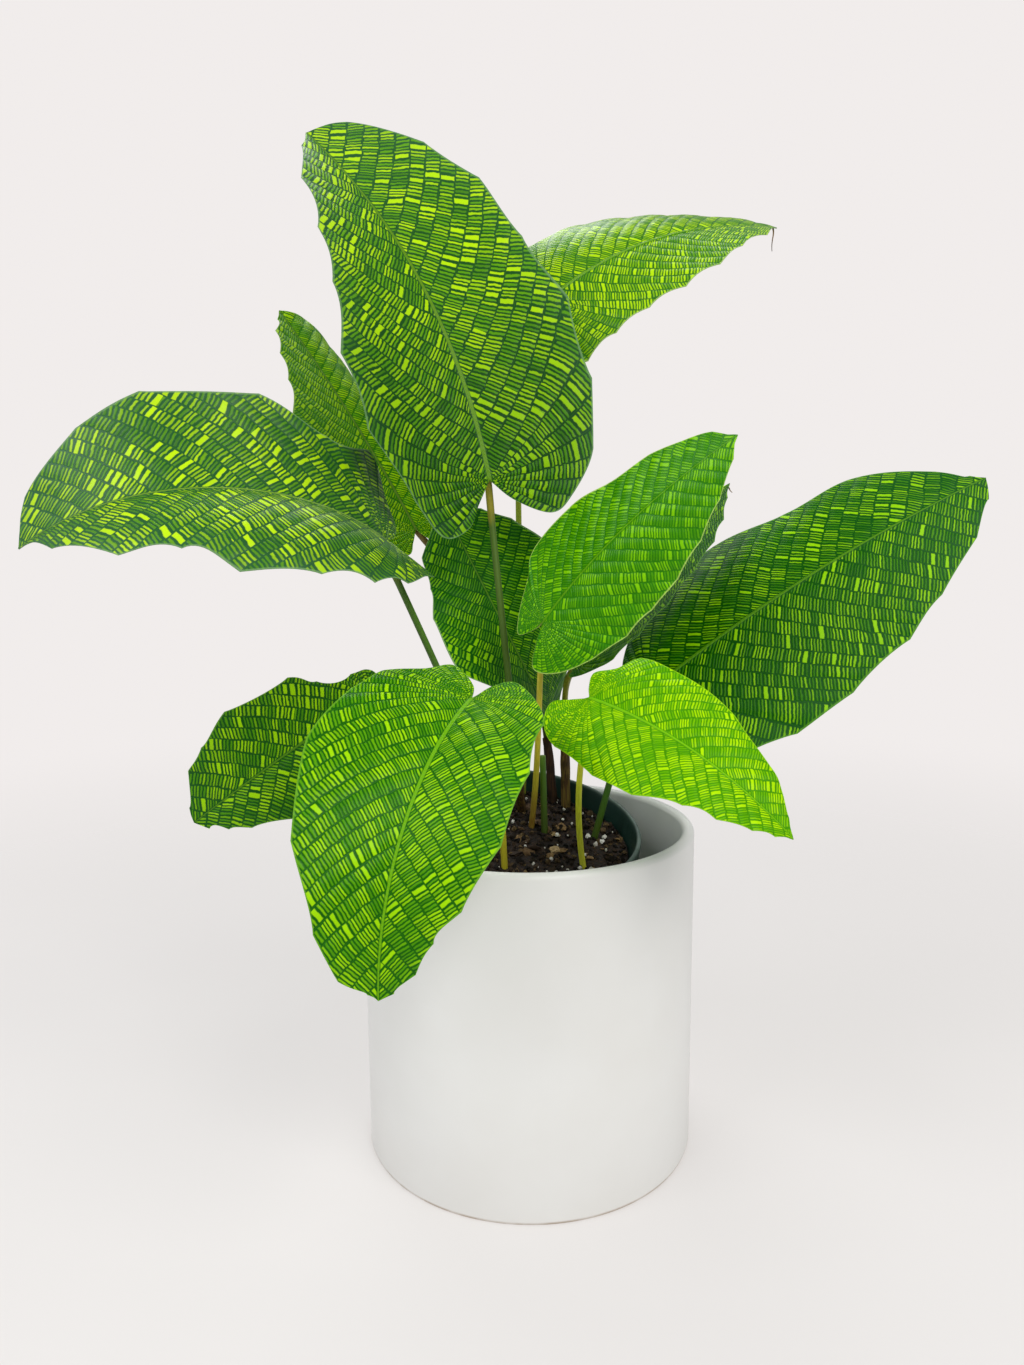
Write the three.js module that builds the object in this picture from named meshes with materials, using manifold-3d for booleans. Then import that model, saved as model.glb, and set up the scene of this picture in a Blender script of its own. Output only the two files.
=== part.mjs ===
// A potted calathea musaica: eleven patterned leaves on stalks in a nursery pot, inside a white pot.
// Millimetres, +Z up. The origin is the middle of the white pot's base, and the front is -Y.
import * as THREE from "three";
import { mergeVertices } from "three/addons/utils/BufferGeometryUtils.js";
import Module from "manifold-3d";

// White ceramic pot
const POT_RADIUS = 84;
const POT_HEIGHT = 165;
const POT_WALL = 6;
const POT_FLOOR = 7;
const POT_BASE_BEVEL = 1.2;

// Green nursery pot, measured from its rim plane down, and how it leans in the white pot
const LINER_RADIUS = 65.8;
const LINER_LIP_OUT = 1.8;
const LINER_LIP_HEIGHT = 7;
const LINER_WALL = 1.4;
const LINER_BASE_RADIUS = 42;
const LINER_DEPTH = 152.2;
const LINER_RIM_CENTRE = new THREE.Vector3(-9.5, -1, 165);
const LINER_BACK_HIGH = THREE.MathUtils.degToRad(11);
const LINER_LEFT_HIGH = THREE.MathUtils.degToRad(5);
const LINER_LIP_BEVEL = 0.8;
const DRAIN_HOLES = 5;
const DRAIN_RADIUS = 4;
const DRAIN_CIRCLE = 27;

// Soil, below the nursery pot's rim plane
const SOIL_DROP = 11;
const SOIL_GRAIN = 1.1;
const STEM_DEPTH = 14;

// Leaves and stalks
const BLADE_THICKNESS = 0.8;
const MIDRIB_EXTRA = 0.7;
const VEIN_LEAN = 0.45;
const SCALLOP_DIP = 1.6;
const STALK_RADIUS = 1.8;
const STALK_SIDES = 8;
const STALK_STEP = 12;
const STALK_UNDER_BLADE = 3;
const SHEATH_RADIUS = 3;
const SHEATH_STEPS = 8;
const FIT = 0.3;

const WHITE_CERAMIC = { color: 0xe9eae8, roughness: 0.55, metalness: 0 };
const GREEN_PLASTIC = { color: 0x1d4338, roughness: 0.5, metalness: 0 };
const SOIL_BROWN = { color: 0x2a1c14, roughness: 0.95, metalness: 0 };
const LEAF_DARK = { color: 0x2c7a1c, roughness: 0.4, metalness: 0 };
const LEAF_LIGHT = { color: 0x6fb418, roughness: 0.4, metalness: 0 };
const STALK_GREEN = { color: 0x4c6a1c, roughness: 0.5, metalness: 0 };
const STALK_YELLOW = { color: 0xc3bd22, roughness: 0.5, metalness: 0 };
const SHEATH_BROWN = { color: 0x3a261c, roughness: 0.85, metalness: 0 };

const wasm = await Module();
wasm.setup();

const plant = new THREE.Group();

function place(name, geometry, finish) {
  const mesh = new THREE.Mesh(geometry, new THREE.MeshStandardMaterial(finish));
  mesh.name = name;
  plant.add(mesh);
}

function toSolid(geometry) {
  const bare = geometry.clone();
  bare.deleteAttribute("normal");
  bare.deleteAttribute("uv");
  const merged = mergeVertices(bare, 1e-4);
  return new wasm.Manifold(
    new wasm.Mesh({
      numProp: 3,
      vertProperties: merged.attributes.position.array,
      triVerts: new Uint32Array(merged.index.array),
    }),
  );
}

function toGeometry(solid) {
  const mesh = solid.getMesh();
  const geometry = new THREE.BufferGeometry();
  geometry.setAttribute("position", new THREE.BufferAttribute(mesh.vertProperties, 3));
  geometry.setIndex(new THREE.BufferAttribute(mesh.triVerts, 1));
  return geometry;
}

// Turns a profile of [radius, height] points that closes on itself about the upright axis.
function lathe(profile, sides) {
  const points = profile.map(([r, z]) => new THREE.Vector2(r, z));
  points.push(points[0].clone());
  return new THREE.LatheGeometry(points, sides).rotateX(Math.PI / 2);
}

function arc(centreR, centreZ, radius, from, to, steps) {
  const points = [];
  for (let i = 0; i <= steps; i++) {
    const angle = THREE.MathUtils.degToRad(from + ((to - from) * i) / steps);
    points.push([centreR + radius * Math.cos(angle), centreZ + radius * Math.sin(angle)]);
  }
  return points;
}

function roundTube(curve, radius, sides, steps) {
  const section = new THREE.Shape();
  for (let i = 0; i < sides; i++) {
    const angle = (2 * Math.PI * i) / sides;
    const [x, y] = [radius * Math.cos(angle), radius * Math.sin(angle)];
    if (i === 0) section.moveTo(x, y);
    else section.lineTo(x, y);
  }
  return new THREE.ExtrudeGeometry(section, { steps, extrudePath: curve });
}

// A stretch of a longer curve, from one share of its length to another.
class Stretch extends THREE.Curve {
  constructor(whole, from, to) {
    super();
    this.whole = whole;
    this.from = from;
    this.to = to;
  }
  getPoint(t) {
    return this.whole.getPointAt(this.from + (this.to - this.from) * t);
  }
}

// White pot: a straight wall with a rounded rim and a small bevel at the foot.
const rimRound = POT_WALL / 2;
place(
  "outer_pot",
  lathe(
    [
      [0, 0],
      [POT_RADIUS - POT_BASE_BEVEL, 0],
      [POT_RADIUS, POT_BASE_BEVEL],
      ...arc(POT_RADIUS - rimRound, POT_HEIGHT - rimRound, rimRound, 0, 180, 6),
      [POT_RADIUS - POT_WALL, POT_FLOOR],
      [0, POT_FLOOR],
    ],
    48,
  ),
  WHITE_CERAMIC,
);

// Where the nursery pot and its soil stand: tipped a little towards the front.
const leaning = new THREE.Matrix4().compose(
  LINER_RIM_CENTRE,
  new THREE.Quaternion().setFromEuler(new THREE.Euler(LINER_BACK_HIGH, LINER_LEFT_HIGH, 0)),
  new THREE.Vector3(1, 1, 1),
);

function linerRadiusAt(depth) {
  return LINER_RADIUS + ((LINER_BASE_RADIUS - LINER_RADIUS) * depth) / LINER_DEPTH;
}

const innerRadius = (depth) => linerRadiusAt(depth) - LINER_WALL;
let liner = toSolid(
  lathe(
    [
      [0, -LINER_DEPTH],
      [LINER_BASE_RADIUS, -LINER_DEPTH],
      [linerRadiusAt(LINER_LIP_HEIGHT), -LINER_LIP_HEIGHT],
      [LINER_RADIUS + LINER_LIP_OUT, -LINER_LIP_HEIGHT],
      [LINER_RADIUS + LINER_LIP_OUT, -LINER_LIP_BEVEL],
      [LINER_RADIUS + LINER_LIP_OUT - LINER_LIP_BEVEL, 0],
      [LINER_RADIUS - LINER_WALL / 2, 0],
      [LINER_RADIUS - LINER_WALL, -LINER_LIP_BEVEL],
      [innerRadius(LINER_DEPTH - LINER_WALL), LINER_WALL - LINER_DEPTH],
      [0, LINER_WALL - LINER_DEPTH],
    ],
    48,
  ),
);
for (let i = 0; i < DRAIN_HOLES; i++) {
  const angle = (2 * Math.PI * i) / DRAIN_HOLES;
  const drain = new THREE.CylinderGeometry(DRAIN_RADIUS, DRAIN_RADIUS, 6 * LINER_WALL, 12);
  drain.rotateX(Math.PI / 2);
  drain.translate(DRAIN_CIRCLE * Math.cos(angle), DRAIN_CIRCLE * Math.sin(angle), -LINER_DEPTH);
  liner = liner.subtract(toSolid(drain));
}
place("nursery_pot", toGeometry(liner).applyMatrix4(leaning), GREEN_PLASTIC);

// Each blade: where its midrib starts, its length, the way the midrib heads and rises, how much
// both change on the way to the tip, how the blade rolls about the midrib, and how each half folds
// up and curls. Its two margins are [along, out] points: four round the lobe, then six teeth.
// Then its stalk: where it leaves the soil, how it leans there, how far its last bend reaches back
// along the blade and down from it, and the share of it that a dry sheath wraps.
const BLADES = {
  tall: {
    base: [-18, 5, 337],
    length: 215,
    heading: 150,
    sweep: 11,
    rise: 59,
    droop: -35,
    roll: [-43, -38],
    left: {
      width: 62,
      fold: 17,
      curl: 16,
      lobe: [[-12, 9], [-23, 17], [-26, 32], [-8, 44]],
      teeth: [[28, 63], [66, 67], [106, 55], [140, 46], [175, 34], [203, 13]],
    },
    right: {
      width: 61,
      fold: 14,
      curl: 2,
      lobe: [[-12, 10], [-22, 27], [-15, 39], [4, 53]],
      teeth: [[34, 61], [72, 64], [107, 57], [143, 55], [174, 44], [207, 21]],
    },
    foot: [-3, 36],
    lean: [-4, -47, 61],
    reach: [18, 16],
    finish: LEAF_DARK,
    stalk: STALK_GREEN,
    sheath: 0.24,
  },
  back_right: {
    base: [13, 60, 435],
    length: 149,
    heading: 17,
    sweep: 3,
    rise: 19,
    droop: -41,
    roll: [64, 26],
    left: {
      width: 42,
      fold: 3,
      curl: -36,
      lobe: [[-11, 6], [-14, 16], [-9, 29], [8, 39]],
      teeth: [[30, 42], [55, 47], [80, 43], [103, 38], [125, 32], [142, 11]],
    },
    right: {
      width: 42,
      fold: 2,
      curl: 2,
      lobe: [[-14, 6], [-20, 16], [-18, 30], [-10, 42]],
      teeth: [[13, 41], [38, 42], [63, 44], [88, 41], [109, 31], [130, 22]],
    },
    foot: [-2, 56],
    lean: [5, 31, 100],
    reach: [43, 10],
    finish: LEAF_DARK,
    stalk: STALK_GREEN,
  },
  back_left: {
    base: [-60, 58, 314],
    length: 163,
    heading: 146,
    sweep: 9,
    rise: 52,
    droop: -5,
    roll: [-36, -26],
    left: {
      width: 45,
      fold: 19,
      curl: 21,
      lobe: [[-8, 6], [-15, 13], [-10, 29], [6, 42]],
      teeth: [[42, 48], [76, 46], [104, 32], [125, 25], [144, 16], [155, 7]],
    },
    right: {
      width: 32,
      fold: 12,
      curl: -100,
      lobe: [[-10, 5], [-16, 13], [-10, 25], [4, 33]],
      teeth: [[29, 34], [58, 34], [86, 33], [112, 30], [137, 24], [155, 13]],
    },
    foot: [-8, 48],
    lean: [16, 11, 88],
    reach: [10, 1],
    finish: LEAF_DARK,
    stalk: STALK_GREEN,
  },
  left: {
    base: [-66, -25, 308],
    length: 173,
    heading: 197,
    sweep: -62,
    rise: -1,
    droop: -64,
    roll: [-36, -47],
    left: {
      width: 49,
      fold: 16,
      curl: -36,
      lobe: [[-14, 3], [-28, 9], [-12, 25], [5, 42]],
      teeth: [[22, 48], [45, 49], [77, 50], [98, 38], [122, 36], [150, 20]],
    },
    right: {
      width: 48,
      fold: 14,
      curl: 16,
      lobe: [[-7, 7], [-9, 17], [-3, 30], [3, 44]],
      teeth: [[11, 50], [35, 41], [65, 50], [109, 49], [135, 40], [164, 22]],
    },
    foot: [-16, 22],
    lean: [-11, -5, 44],
    reach: [18, 9],
    finish: LEAF_DARK,
    stalk: STALK_GREEN,
  },
  low_left: {
    base: [-73, -35, 236],
    length: 106,
    heading: 180,
    sweep: -8,
    rise: -35,
    droop: -5,
    roll: [-71, -78],
    left: {
      width: 30,
      fold: 5,
      curl: -16,
      lobe: [[-8, 4], [-10, 12], [-6, 21], [6, 28]],
      teeth: [[25, 31], [45, 31], [62, 28], [83, 19], [93, 13], [101, 7]],
    },
    right: {
      width: 31,
      fold: 14,
      curl: -1,
      lobe: [[-5, 3], [-7, 8], [-4, 12], [3, 14]],
      teeth: [[18, 20], [28, 29], [61, 33], [80, 26], [92, 21], [103, 7]],
    },
    foot: [-24, 2],
    lean: [-8, -4, 60],
    reach: [20, 5],
    finish: LEAF_DARK,
    stalk: STALK_GREEN,
  },
  front: {
    base: [-25, -78, 241],
    length: 136,
    heading: 243,
    sweep: -4,
    rise: -54,
    droop: -72,
    roll: [-11, -43],
    left: {
      width: 41,
      fold: 17,
      curl: -4,
      lobe: [[-11, 4], [-15, 14], [2, 31], [16, 40]],
      teeth: [[39, 42], [70, 39], [98, 29], [112, 20], [125, 14], [133, 6]],
    },
    right: {
      width: 46,
      fold: 10,
      curl: -8,
      lobe: [[-10, 4], [-19, 18], [-9, 27], [3, 41]],
      teeth: [[22, 45], [50, 48], [85, 39], [112, 25], [127, 15], [133, 4]],
    },
    foot: [-12, -27],
    lean: [-2, -8, 60],
    reach: [25, 6],
    finish: LEAF_DARK,
    stalk: STALK_YELLOW,
  },
  low_right: {
    base: [27, -52, 237],
    length: 111,
    heading: 325,
    sweep: 27,
    rise: -27,
    droop: -40,
    roll: [44, 30],
    left: {
      width: 31,
      fold: 3,
      curl: -17,
      lobe: [[-4, 5], [-7, 13], [2, 19], [9, 30]],
      teeth: [[30, 31], [54, 29], [68, 24], [84, 19], [94, 14], [104, 6]],
    },
    right: {
      width: 32,
      fold: 7,
      curl: -23,
      lobe: [[-8, 4], [-17, 9], [-13, 20], [0, 28]],
      teeth: [[28, 33], [50, 32], [70, 24], [84, 20], [97, 13], [105, 7]],
    },
    foot: [27, -20],
    lean: [-7, -3, 45],
    reach: [7, 6],
    finish: LEAF_LIGHT,
    stalk: STALK_YELLOW,
  },
  young: {
    base: [7, -25, 269],
    length: 122,
    heading: 340,
    sweep: 10,
    rise: 43,
    droop: -19,
    roll: [70, 71],
    left: {
      width: 31,
      fold: -7,
      curl: -5,
      lobe: [[-8, 3], [-14, 9], [-5, 18], [8, 26]],
      teeth: [[20, 35], [46, 33], [66, 25], [87, 21], [104, 14], [114, 9]],
    },
    right: {
      width: 35,
      fold: -2,
      curl: -30,
      lobe: [[-10, 4], [-20, 11], [-13, 22], [4, 31]],
      teeth: [[24, 36], [42, 36], [62, 34], [82, 28], [100, 19], [115, 8]],
    },
    foot: [2, 17],
    lean: [6, -11, 54],
    reach: [17, 5],
    finish: LEAF_LIGHT,
    stalk: STALK_YELLOW,
  },
  right: {
    base: [63, 5, 232],
    length: 206,
    heading: 7,
    sweep: 11,
    rise: 31,
    droop: -16,
    roll: [54, 57],
    left: {
      width: 57,
      fold: -7,
      curl: -31,
      lobe: [[-4, 8], [-5, 20], [3, 31], [14, 40]],
      teeth: [[30, 50], [77, 58], [115, 45], [153, 42], [188, 17], [200, 5]],
    },
    right: {
      width: 60,
      fold: -2,
      curl: -12,
      lobe: [[-14, 8], [-19, 24], [-12, 41], [5, 54]],
      teeth: [[43, 62], [79, 61], [120, 54], [148, 43], [182, 26], [200, 11]],
    },
    foot: [35, 11],
    lean: [13, -1, 48],
    reach: [25, 6],
    finish: LEAF_DARK,
    stalk: STALK_GREEN,
  },
  centre: {
    base: [12, 44, 212],
    length: 131,
    heading: 171,
    sweep: -44,
    rise: 63,
    droop: -4,
    roll: [-25, -79],
    left: {
      width: 39,
      fold: 3,
      curl: 4,
      lobe: [[-8, 5], [-9, 12], [-3, 19], [8, 23]],
      teeth: [[24, 30], [46, 45], [75, 35], [90, 27], [108, 23], [122, 10]],
    },
    right: {
      width: 44,
      fold: 1,
      curl: 9,
      lobe: [[-9, 6], [-11, 16], [-3, 28], [4, 42]],
      teeth: [[28, 47], [60, 46], [88, 41], [105, 30], [117, 18], [126, 8]],
    },
    foot: [15, 50],
    lean: [-1, 0, 16],
    reach: [15, 4],
    finish: LEAF_DARK,
    stalk: STALK_GREEN,
    sheath: 0.8,
  },
  behind: {
    base: [25, 5, 245],
    length: 133,
    heading: 27,
    sweep: -1,
    rise: 44,
    droop: 15,
    roll: [11, 11],
    left: {
      width: 35,
      fold: 5,
      curl: 10,
      lobe: [[-9, 4], [-12, 11], [-8, 18], [4, 23]],
      teeth: [[25, 26], [48, 27], [72, 26], [95, 22], [112, 16], [124, 9]],
    },
    right: {
      width: 34,
      fold: 15,
      curl: 10,
      lobe: [[-9, 5], [-8, 15], [-3, 26], [3, 36]],
      teeth: [[20, 39], [42, 39], [66, 35], [88, 30], [105, 21], [122, 8]],
    },
    foot: [22, 45],
    lean: [-1, 1, 70],
    reach: [14, -3],
    finish: LEAF_DARK,
    stalk: STALK_GREEN,
    sheath: 0.45,
  },
};

const UP = new THREE.Vector3(0, 0, 1);
const MIDRIB_STEPS = 40;

// The midrib's points and, at each, the way along it, out to the right and up off the face.
function midribOf(blade) {
  const stations = [];
  const point = new THREE.Vector3(...blade.base);
  const alongAt = (t) => {
    const heading = THREE.MathUtils.degToRad(blade.heading + blade.sweep * (t - 0.5));
    const rise = THREE.MathUtils.degToRad(blade.rise + blade.droop * (t - 0.5));
    const flat = Math.cos(rise);
    return new THREE.Vector3(flat * Math.cos(heading), flat * Math.sin(heading), Math.sin(rise));
  };
  for (let i = 0; i <= MIDRIB_STEPS; i++) {
    const t = i / MIDRIB_STEPS;
    const along = alongAt(t);
    const face = UP.clone().addScaledVector(along, -along.z).normalize();
    const out = new THREE.Vector3().crossVectors(along, face);
    const [from, to] = blade.roll;
    const roll = THREE.MathUtils.degToRad(from + (to - from) * t);
    face.applyAxisAngle(along, roll);
    out.applyAxisAngle(along, roll);
    stations.push({ point: point.clone(), along, out, face });
    point.addScaledVector(alongAt(t + 0.5 / MIDRIB_STEPS), blade.length / MIDRIB_STEPS);
  }
  return stations;
}

function stationAt(blade, midrib, along) {
  const step = THREE.MathUtils.clamp(along / blade.length, 0, 1) * MIDRIB_STEPS;
  const i = Math.min(Math.floor(step), MIDRIB_STEPS - 1);
  const mix = (key) => midrib[i][key].clone().lerp(midrib[i + 1][key], step - i);
  return { point: mix("point"), along: mix("along"), out: mix("out"), face: mix("face") };
}

// A point of the blade's middle surface: along the midrib and out to one side, both in mm.
function surfacePoint(blade, midrib, along, out, side) {
  const station = stationAt(blade, midrib, along);
  const half = side > 0 ? blade.right : blade.left;
  const angle = THREE.MathUtils.degToRad(half.fold + (half.curl * out) / half.width / 2);
  return station.point
    .addScaledVector(station.along, Math.min(along, 0))
    .addScaledVector(station.out, side * out * Math.cos(angle))
    .addScaledVector(station.face, out * Math.sin(angle));
}

const ROWS_PER_POINT = 2;
const COLUMNS = 3;

// Where each vein leaves the midrib and where it meets the margin, from the notch to the tip.
function veinsOf(blade, half) {
  const corners = [[0, 0], ...half.lobe, ...half.teeth, [blade.length, 0]];
  const smooth = new THREE.SplineCurve(corners.map(([s, u]) => new THREE.Vector2(s, u)));
  const rows = [];
  const count = (corners.length - 1) * ROWS_PER_POINT;
  for (let i = 0; i <= count; i++) {
    const margin = smooth.getPoint(i / count);
    const share = (i % ROWS_PER_POINT) / ROWS_PER_POINT;
    if (i > half.lobe.length * ROWS_PER_POINT) {
      margin.y -= Math.min(SCALLOP_DIP, 0.3 * margin.y) * Math.sin(Math.PI * share);
    }
    rows.push({ start: margin.x - VEIN_LEAN * margin.y, margin });
  }
  return rows;
}

function bladeGeometry(blade) {
  const midrib = midribOf(blade);
  const left = veinsOf(blade, blade.left);
  const right = veinsOf(blade, blade.right);
  const starts = left.map((row, i) => Math.max(0, (row.start + right[i].start) / 2));
  const faces = [];
  const vertices = [];
  const keys = new Map();
  const half = BLADE_THICKNESS / 2;

  // One vertex on each face of the blade, and their two numbers.
  function pair(along, out, side) {
    const key = [along.toFixed(3), (side * out).toFixed(3)].join();
    if (keys.has(key)) return keys.get(key);
    const at = (s, u) => surfacePoint(blade, midrib, s, Math.abs(u), u < 0 ? -1 : 1);
    const u = side * out;
    const step = 0.5;
    const lengthwise = at(along + step, u).sub(at(along - step, u));
    const across = at(along, u + step).sub(at(along, u - step));
    const normal = across.cross(lengthwise).normalize();
    const middle = at(along, u);
    const below = out === 0 ? half + MIDRIB_EXTRA : half;
    const top = middle.clone().addScaledVector(normal, half);
    const bottom = middle.clone().addScaledVector(normal, -below);
    vertices.push(top.x, top.y, top.z, bottom.x, bottom.y, bottom.z);
    const numbers = [vertices.length / 3 - 2, vertices.length / 3 - 1];
    keys.set(key, numbers);
    return numbers;
  }

  // A triangle on the upper face and the same one, turned over, on the lower face.
  function skin(a, b, c, side) {
    if (a === b || b === c || a === c) return;
    const [p, q] = side > 0 ? [b, c] : [c, b];
    faces.push(a[0], p[0], q[0], a[1], q[1], p[1]);
  }

  function edge(a, b, side) {
    if (a === b) return;
    const [p, q] = side > 0 ? [a, b] : [b, a];
    faces.push(p[0], p[1], q[1], p[0], q[1], q[0]);
  }

  for (const [side, rows] of [[-1, left], [1, right]]) {
    const grid = rows.map((row, i) => {
      const start = starts[i];
      const { x, y } = row.margin;
      const vein = new THREE.QuadraticBezierCurve(
        new THREE.Vector2(start, 0),
        new THREE.Vector2(start + 0.3 * (x - start), 0.55 * y),
        new THREE.Vector2(x, y),
      );
      const line = [];
      for (let j = 0; j <= COLUMNS; j++) {
        const at = vein.getPoint(j / COLUMNS);
        line.push(y < 1e-6 ? pair(x, 0, side) : pair(at.x, at.y, side));
      }
      return line;
    });
    for (let i = 0; i + 1 < grid.length; i++) {
      for (let j = 0; j < COLUMNS; j++) {
        skin(grid[i][j], grid[i][j + 1], grid[i + 1][j + 1], side);
        skin(grid[i][j], grid[i + 1][j + 1], grid[i + 1][j], side);
      }
      edge(grid[i][COLUMNS], grid[i + 1][COLUMNS], side);
    }
  }
  const geometry = new THREE.BufferGeometry();
  geometry.setAttribute("position", new THREE.Float32BufferAttribute(vertices, 3));
  geometry.setIndex(faces);
  return geometry;
}

const soilTop = new THREE.Plane().setFromNormalAndCoplanarPoint(
  UP.clone().transformDirection(leaning),
  new THREE.Vector3(0, 0, -SOIL_DROP).applyMatrix4(leaning),
);

function onSoil(x, y) {
  const { normal, constant } = soilTop;
  return new THREE.Vector3(x, y, -(constant + normal.x * x + normal.y * y) / normal.z);
}

// A stalk's line: straight up out of the soil, then in one bend to the underside of its blade.
function stalkLine(blade) {
  const foot = onSoil(...blade.foot);
  const lean = new THREE.Vector3(...blade.lean);
  const { point, along, face } = midribOf(blade)[0];
  const under = BLADE_THICKNESS / 2 + MIDRIB_EXTRA + FIT + STALK_RADIUS;
  const end = point.clone().addScaledVector(along, STALK_UNDER_BLADE).addScaledVector(face, -under);
  const [back, down] = blade.reach;
  const line = new THREE.CurvePath();
  const buried = foot.clone().addScaledVector(lean.clone().normalize(), -STEM_DEPTH);
  line.add(new THREE.LineCurve3(buried, foot));
  line.add(
    new THREE.CubicBezierCurve3(
      foot,
      foot.clone().add(lean),
      end.clone().addScaledVector(along, -back).addScaledVector(face, -down),
      end,
    ),
  );
  return line;
}

const holes = [];
for (const [name, blade] of Object.entries(BLADES)) {
  place("blade_" + name, bladeGeometry(blade), blade.finish);
  const line = stalkLine(blade);
  const steps = Math.round(line.getLength() / STALK_STEP);
  place("stalk_" + name, roundTube(line, STALK_RADIUS, STALK_SIDES, steps), blade.stalk);
  const buriedShare = STEM_DEPTH / line.getLength();
  let holeRadius = STALK_RADIUS;
  if (blade.sheath) {
    holeRadius = SHEATH_RADIUS;
    const wrap = new Stretch(line, buriedShare * 0.4, blade.sheath);
    const bore = new Stretch(line, 0, blade.sheath + 0.05);
    const outside = toSolid(roundTube(wrap, SHEATH_RADIUS, STALK_SIDES, SHEATH_STEPS));
    const inside = toSolid(roundTube(bore, STALK_RADIUS + 2 * FIT, STALK_SIDES, SHEATH_STEPS + 1));
    place("sheath_" + name, toGeometry(outside.subtract(inside)), SHEATH_BROWN);
  }
  holes.push({ line, radius: holeRadius + FIT, share: buriedShare });
}

// The stub of a stalk that was cut off.
const STUB_FOOT = [9, 14];
const STUB_HEIGHT = 41;
const stubFoot = onSoil(...STUB_FOOT);
const stubLine = new THREE.LineCurve3(
  stubFoot.clone().add(new THREE.Vector3(0, 0, -STEM_DEPTH)),
  stubFoot.clone().add(new THREE.Vector3(-1, 0, STUB_HEIGHT)),
);
place("stub", roundTube(stubLine, STALK_RADIUS, STALK_SIDES, 1), STALK_GREEN);
holes.push({ line: stubLine, radius: STALK_RADIUS + FIT, share: 0.25 });

// Soil: a tapered plug with a crumbly top, and a plain hole for each stem.
const SOIL_RINGS = 9;
const SOIL_SIDES = 36;
let seed = 7;
function random() {
  seed = (seed * 16807) % 2147483647;
  return seed / 2147483647;
}

function soilSolid() {
  const topRadius = innerRadius(SOIL_DROP) - FIT;
  const bottom = LINER_WALL - LINER_DEPTH + FIT;
  const bottomRadius = innerRadius(LINER_DEPTH - LINER_WALL) - FIT;
  const plug = new THREE.LatheGeometry(
    [
      new THREE.Vector2(0, bottom),
      new THREE.Vector2(bottomRadius, bottom),
      ...Array.from({ length: SOIL_RINGS + 1 }, (_, i) => {
        return new THREE.Vector2(topRadius * (1 - i / SOIL_RINGS), -SOIL_DROP);
      }),
    ],
    SOIL_SIDES,
  ).rotateX(Math.PI / 2);
  plug.deleteAttribute("normal");
  plug.deleteAttribute("uv");
  const merged = mergeVertices(plug, 1e-3);
  const position = merged.attributes.position;
  for (let i = 0; i < position.count; i++) {
    const radius = Math.hypot(position.getX(i), position.getY(i));
    const onTop = Math.abs(position.getZ(i) + SOIL_DROP) < 1e-3;
    if (onTop && radius < topRadius - 1) {
      position.setZ(i, -SOIL_DROP + SOIL_GRAIN * (2 * random() - 1));
    }
  }
  return toSolid(merged.applyMatrix4(leaning));
}

let soil = soilSolid();
for (const { line, radius, share } of holes) {
  const deep = line.getPointAt(0);
  const direction = line.getPointAt(share).sub(deep).normalize();
  const hole = new THREE.LineCurve3(
    deep.clone().addScaledVector(direction, -2),
    deep.clone().addScaledVector(direction, STEM_DEPTH + 8),
  );
  soil = soil.subtract(toSolid(roundTube(hole, radius, STALK_SIDES + 2, 1)));
}
place("soil", toGeometry(soil), SOIL_BROWN);

export default plant;
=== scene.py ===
import math
import random

import bmesh
import bpy
import numpy as np
from mathutils import Matrix, Vector, noise


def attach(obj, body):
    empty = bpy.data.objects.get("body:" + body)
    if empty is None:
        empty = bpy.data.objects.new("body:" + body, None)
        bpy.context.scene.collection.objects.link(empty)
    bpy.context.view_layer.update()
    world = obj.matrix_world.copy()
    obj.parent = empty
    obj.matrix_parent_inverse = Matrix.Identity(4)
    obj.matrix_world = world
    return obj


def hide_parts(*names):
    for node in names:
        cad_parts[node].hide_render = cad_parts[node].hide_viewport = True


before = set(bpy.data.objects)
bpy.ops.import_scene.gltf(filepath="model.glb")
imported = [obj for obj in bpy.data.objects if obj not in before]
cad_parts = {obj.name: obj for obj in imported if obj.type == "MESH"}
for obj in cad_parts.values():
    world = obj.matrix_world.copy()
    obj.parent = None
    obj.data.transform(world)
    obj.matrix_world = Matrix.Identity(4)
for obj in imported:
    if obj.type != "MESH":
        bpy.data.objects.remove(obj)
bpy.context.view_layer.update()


# Cover pot: one straight-sided cylinder of off-white ceramic with a satin glaze, cast in a mould.
# Its rim is rounded off, its foot has a small bevel where the bare clay shows, and the glaze has
# a few pinholes.
MM = 0.001
POT_RADIUS = 84.0
POT_HEIGHT = 165.0
POT_WALL = 6.0
POT_INNER = POT_RADIUS - POT_WALL
POT_FLOOR = 7.0
POT_CORNER = 4.0
FOOT_BEVEL = 1.2
FOOT_ROUND = 0.35
RIM_ROUND = POT_WALL / 2


def start_disc(name, radius, height, sides):
    """A flat round face, selected in edit mode, from which a turned piece is raised."""
    bpy.ops.object.select_all(action="DESELECT")
    bpy.ops.mesh.primitive_circle_add(
        vertices=sides, radius=radius * MM, fill_type="NGON", location=(0, 0, height * MM)
    )
    piece = bpy.context.object
    piece.name = name
    piece.data.name = name
    bpy.ops.object.transform_apply(location=True, rotation=True, scale=True)
    bpy.ops.object.mode_set(mode="EDIT")
    bpy.ops.mesh.select_all(action="SELECT")
    return piece


def raise_ring(old, new):
    """Extrudes the selected face from one [radius, height] of the profile to the next."""
    bpy.ops.mesh.extrude_region_move(
        TRANSFORM_OT_translate={"value": (0, 0, (new[1] - old[1]) * MM)}
    )
    ratio = new[0] / old[0]
    bpy.ops.transform.resize(value=(ratio, ratio, 1), center_override=(0, 0, 0))


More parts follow.
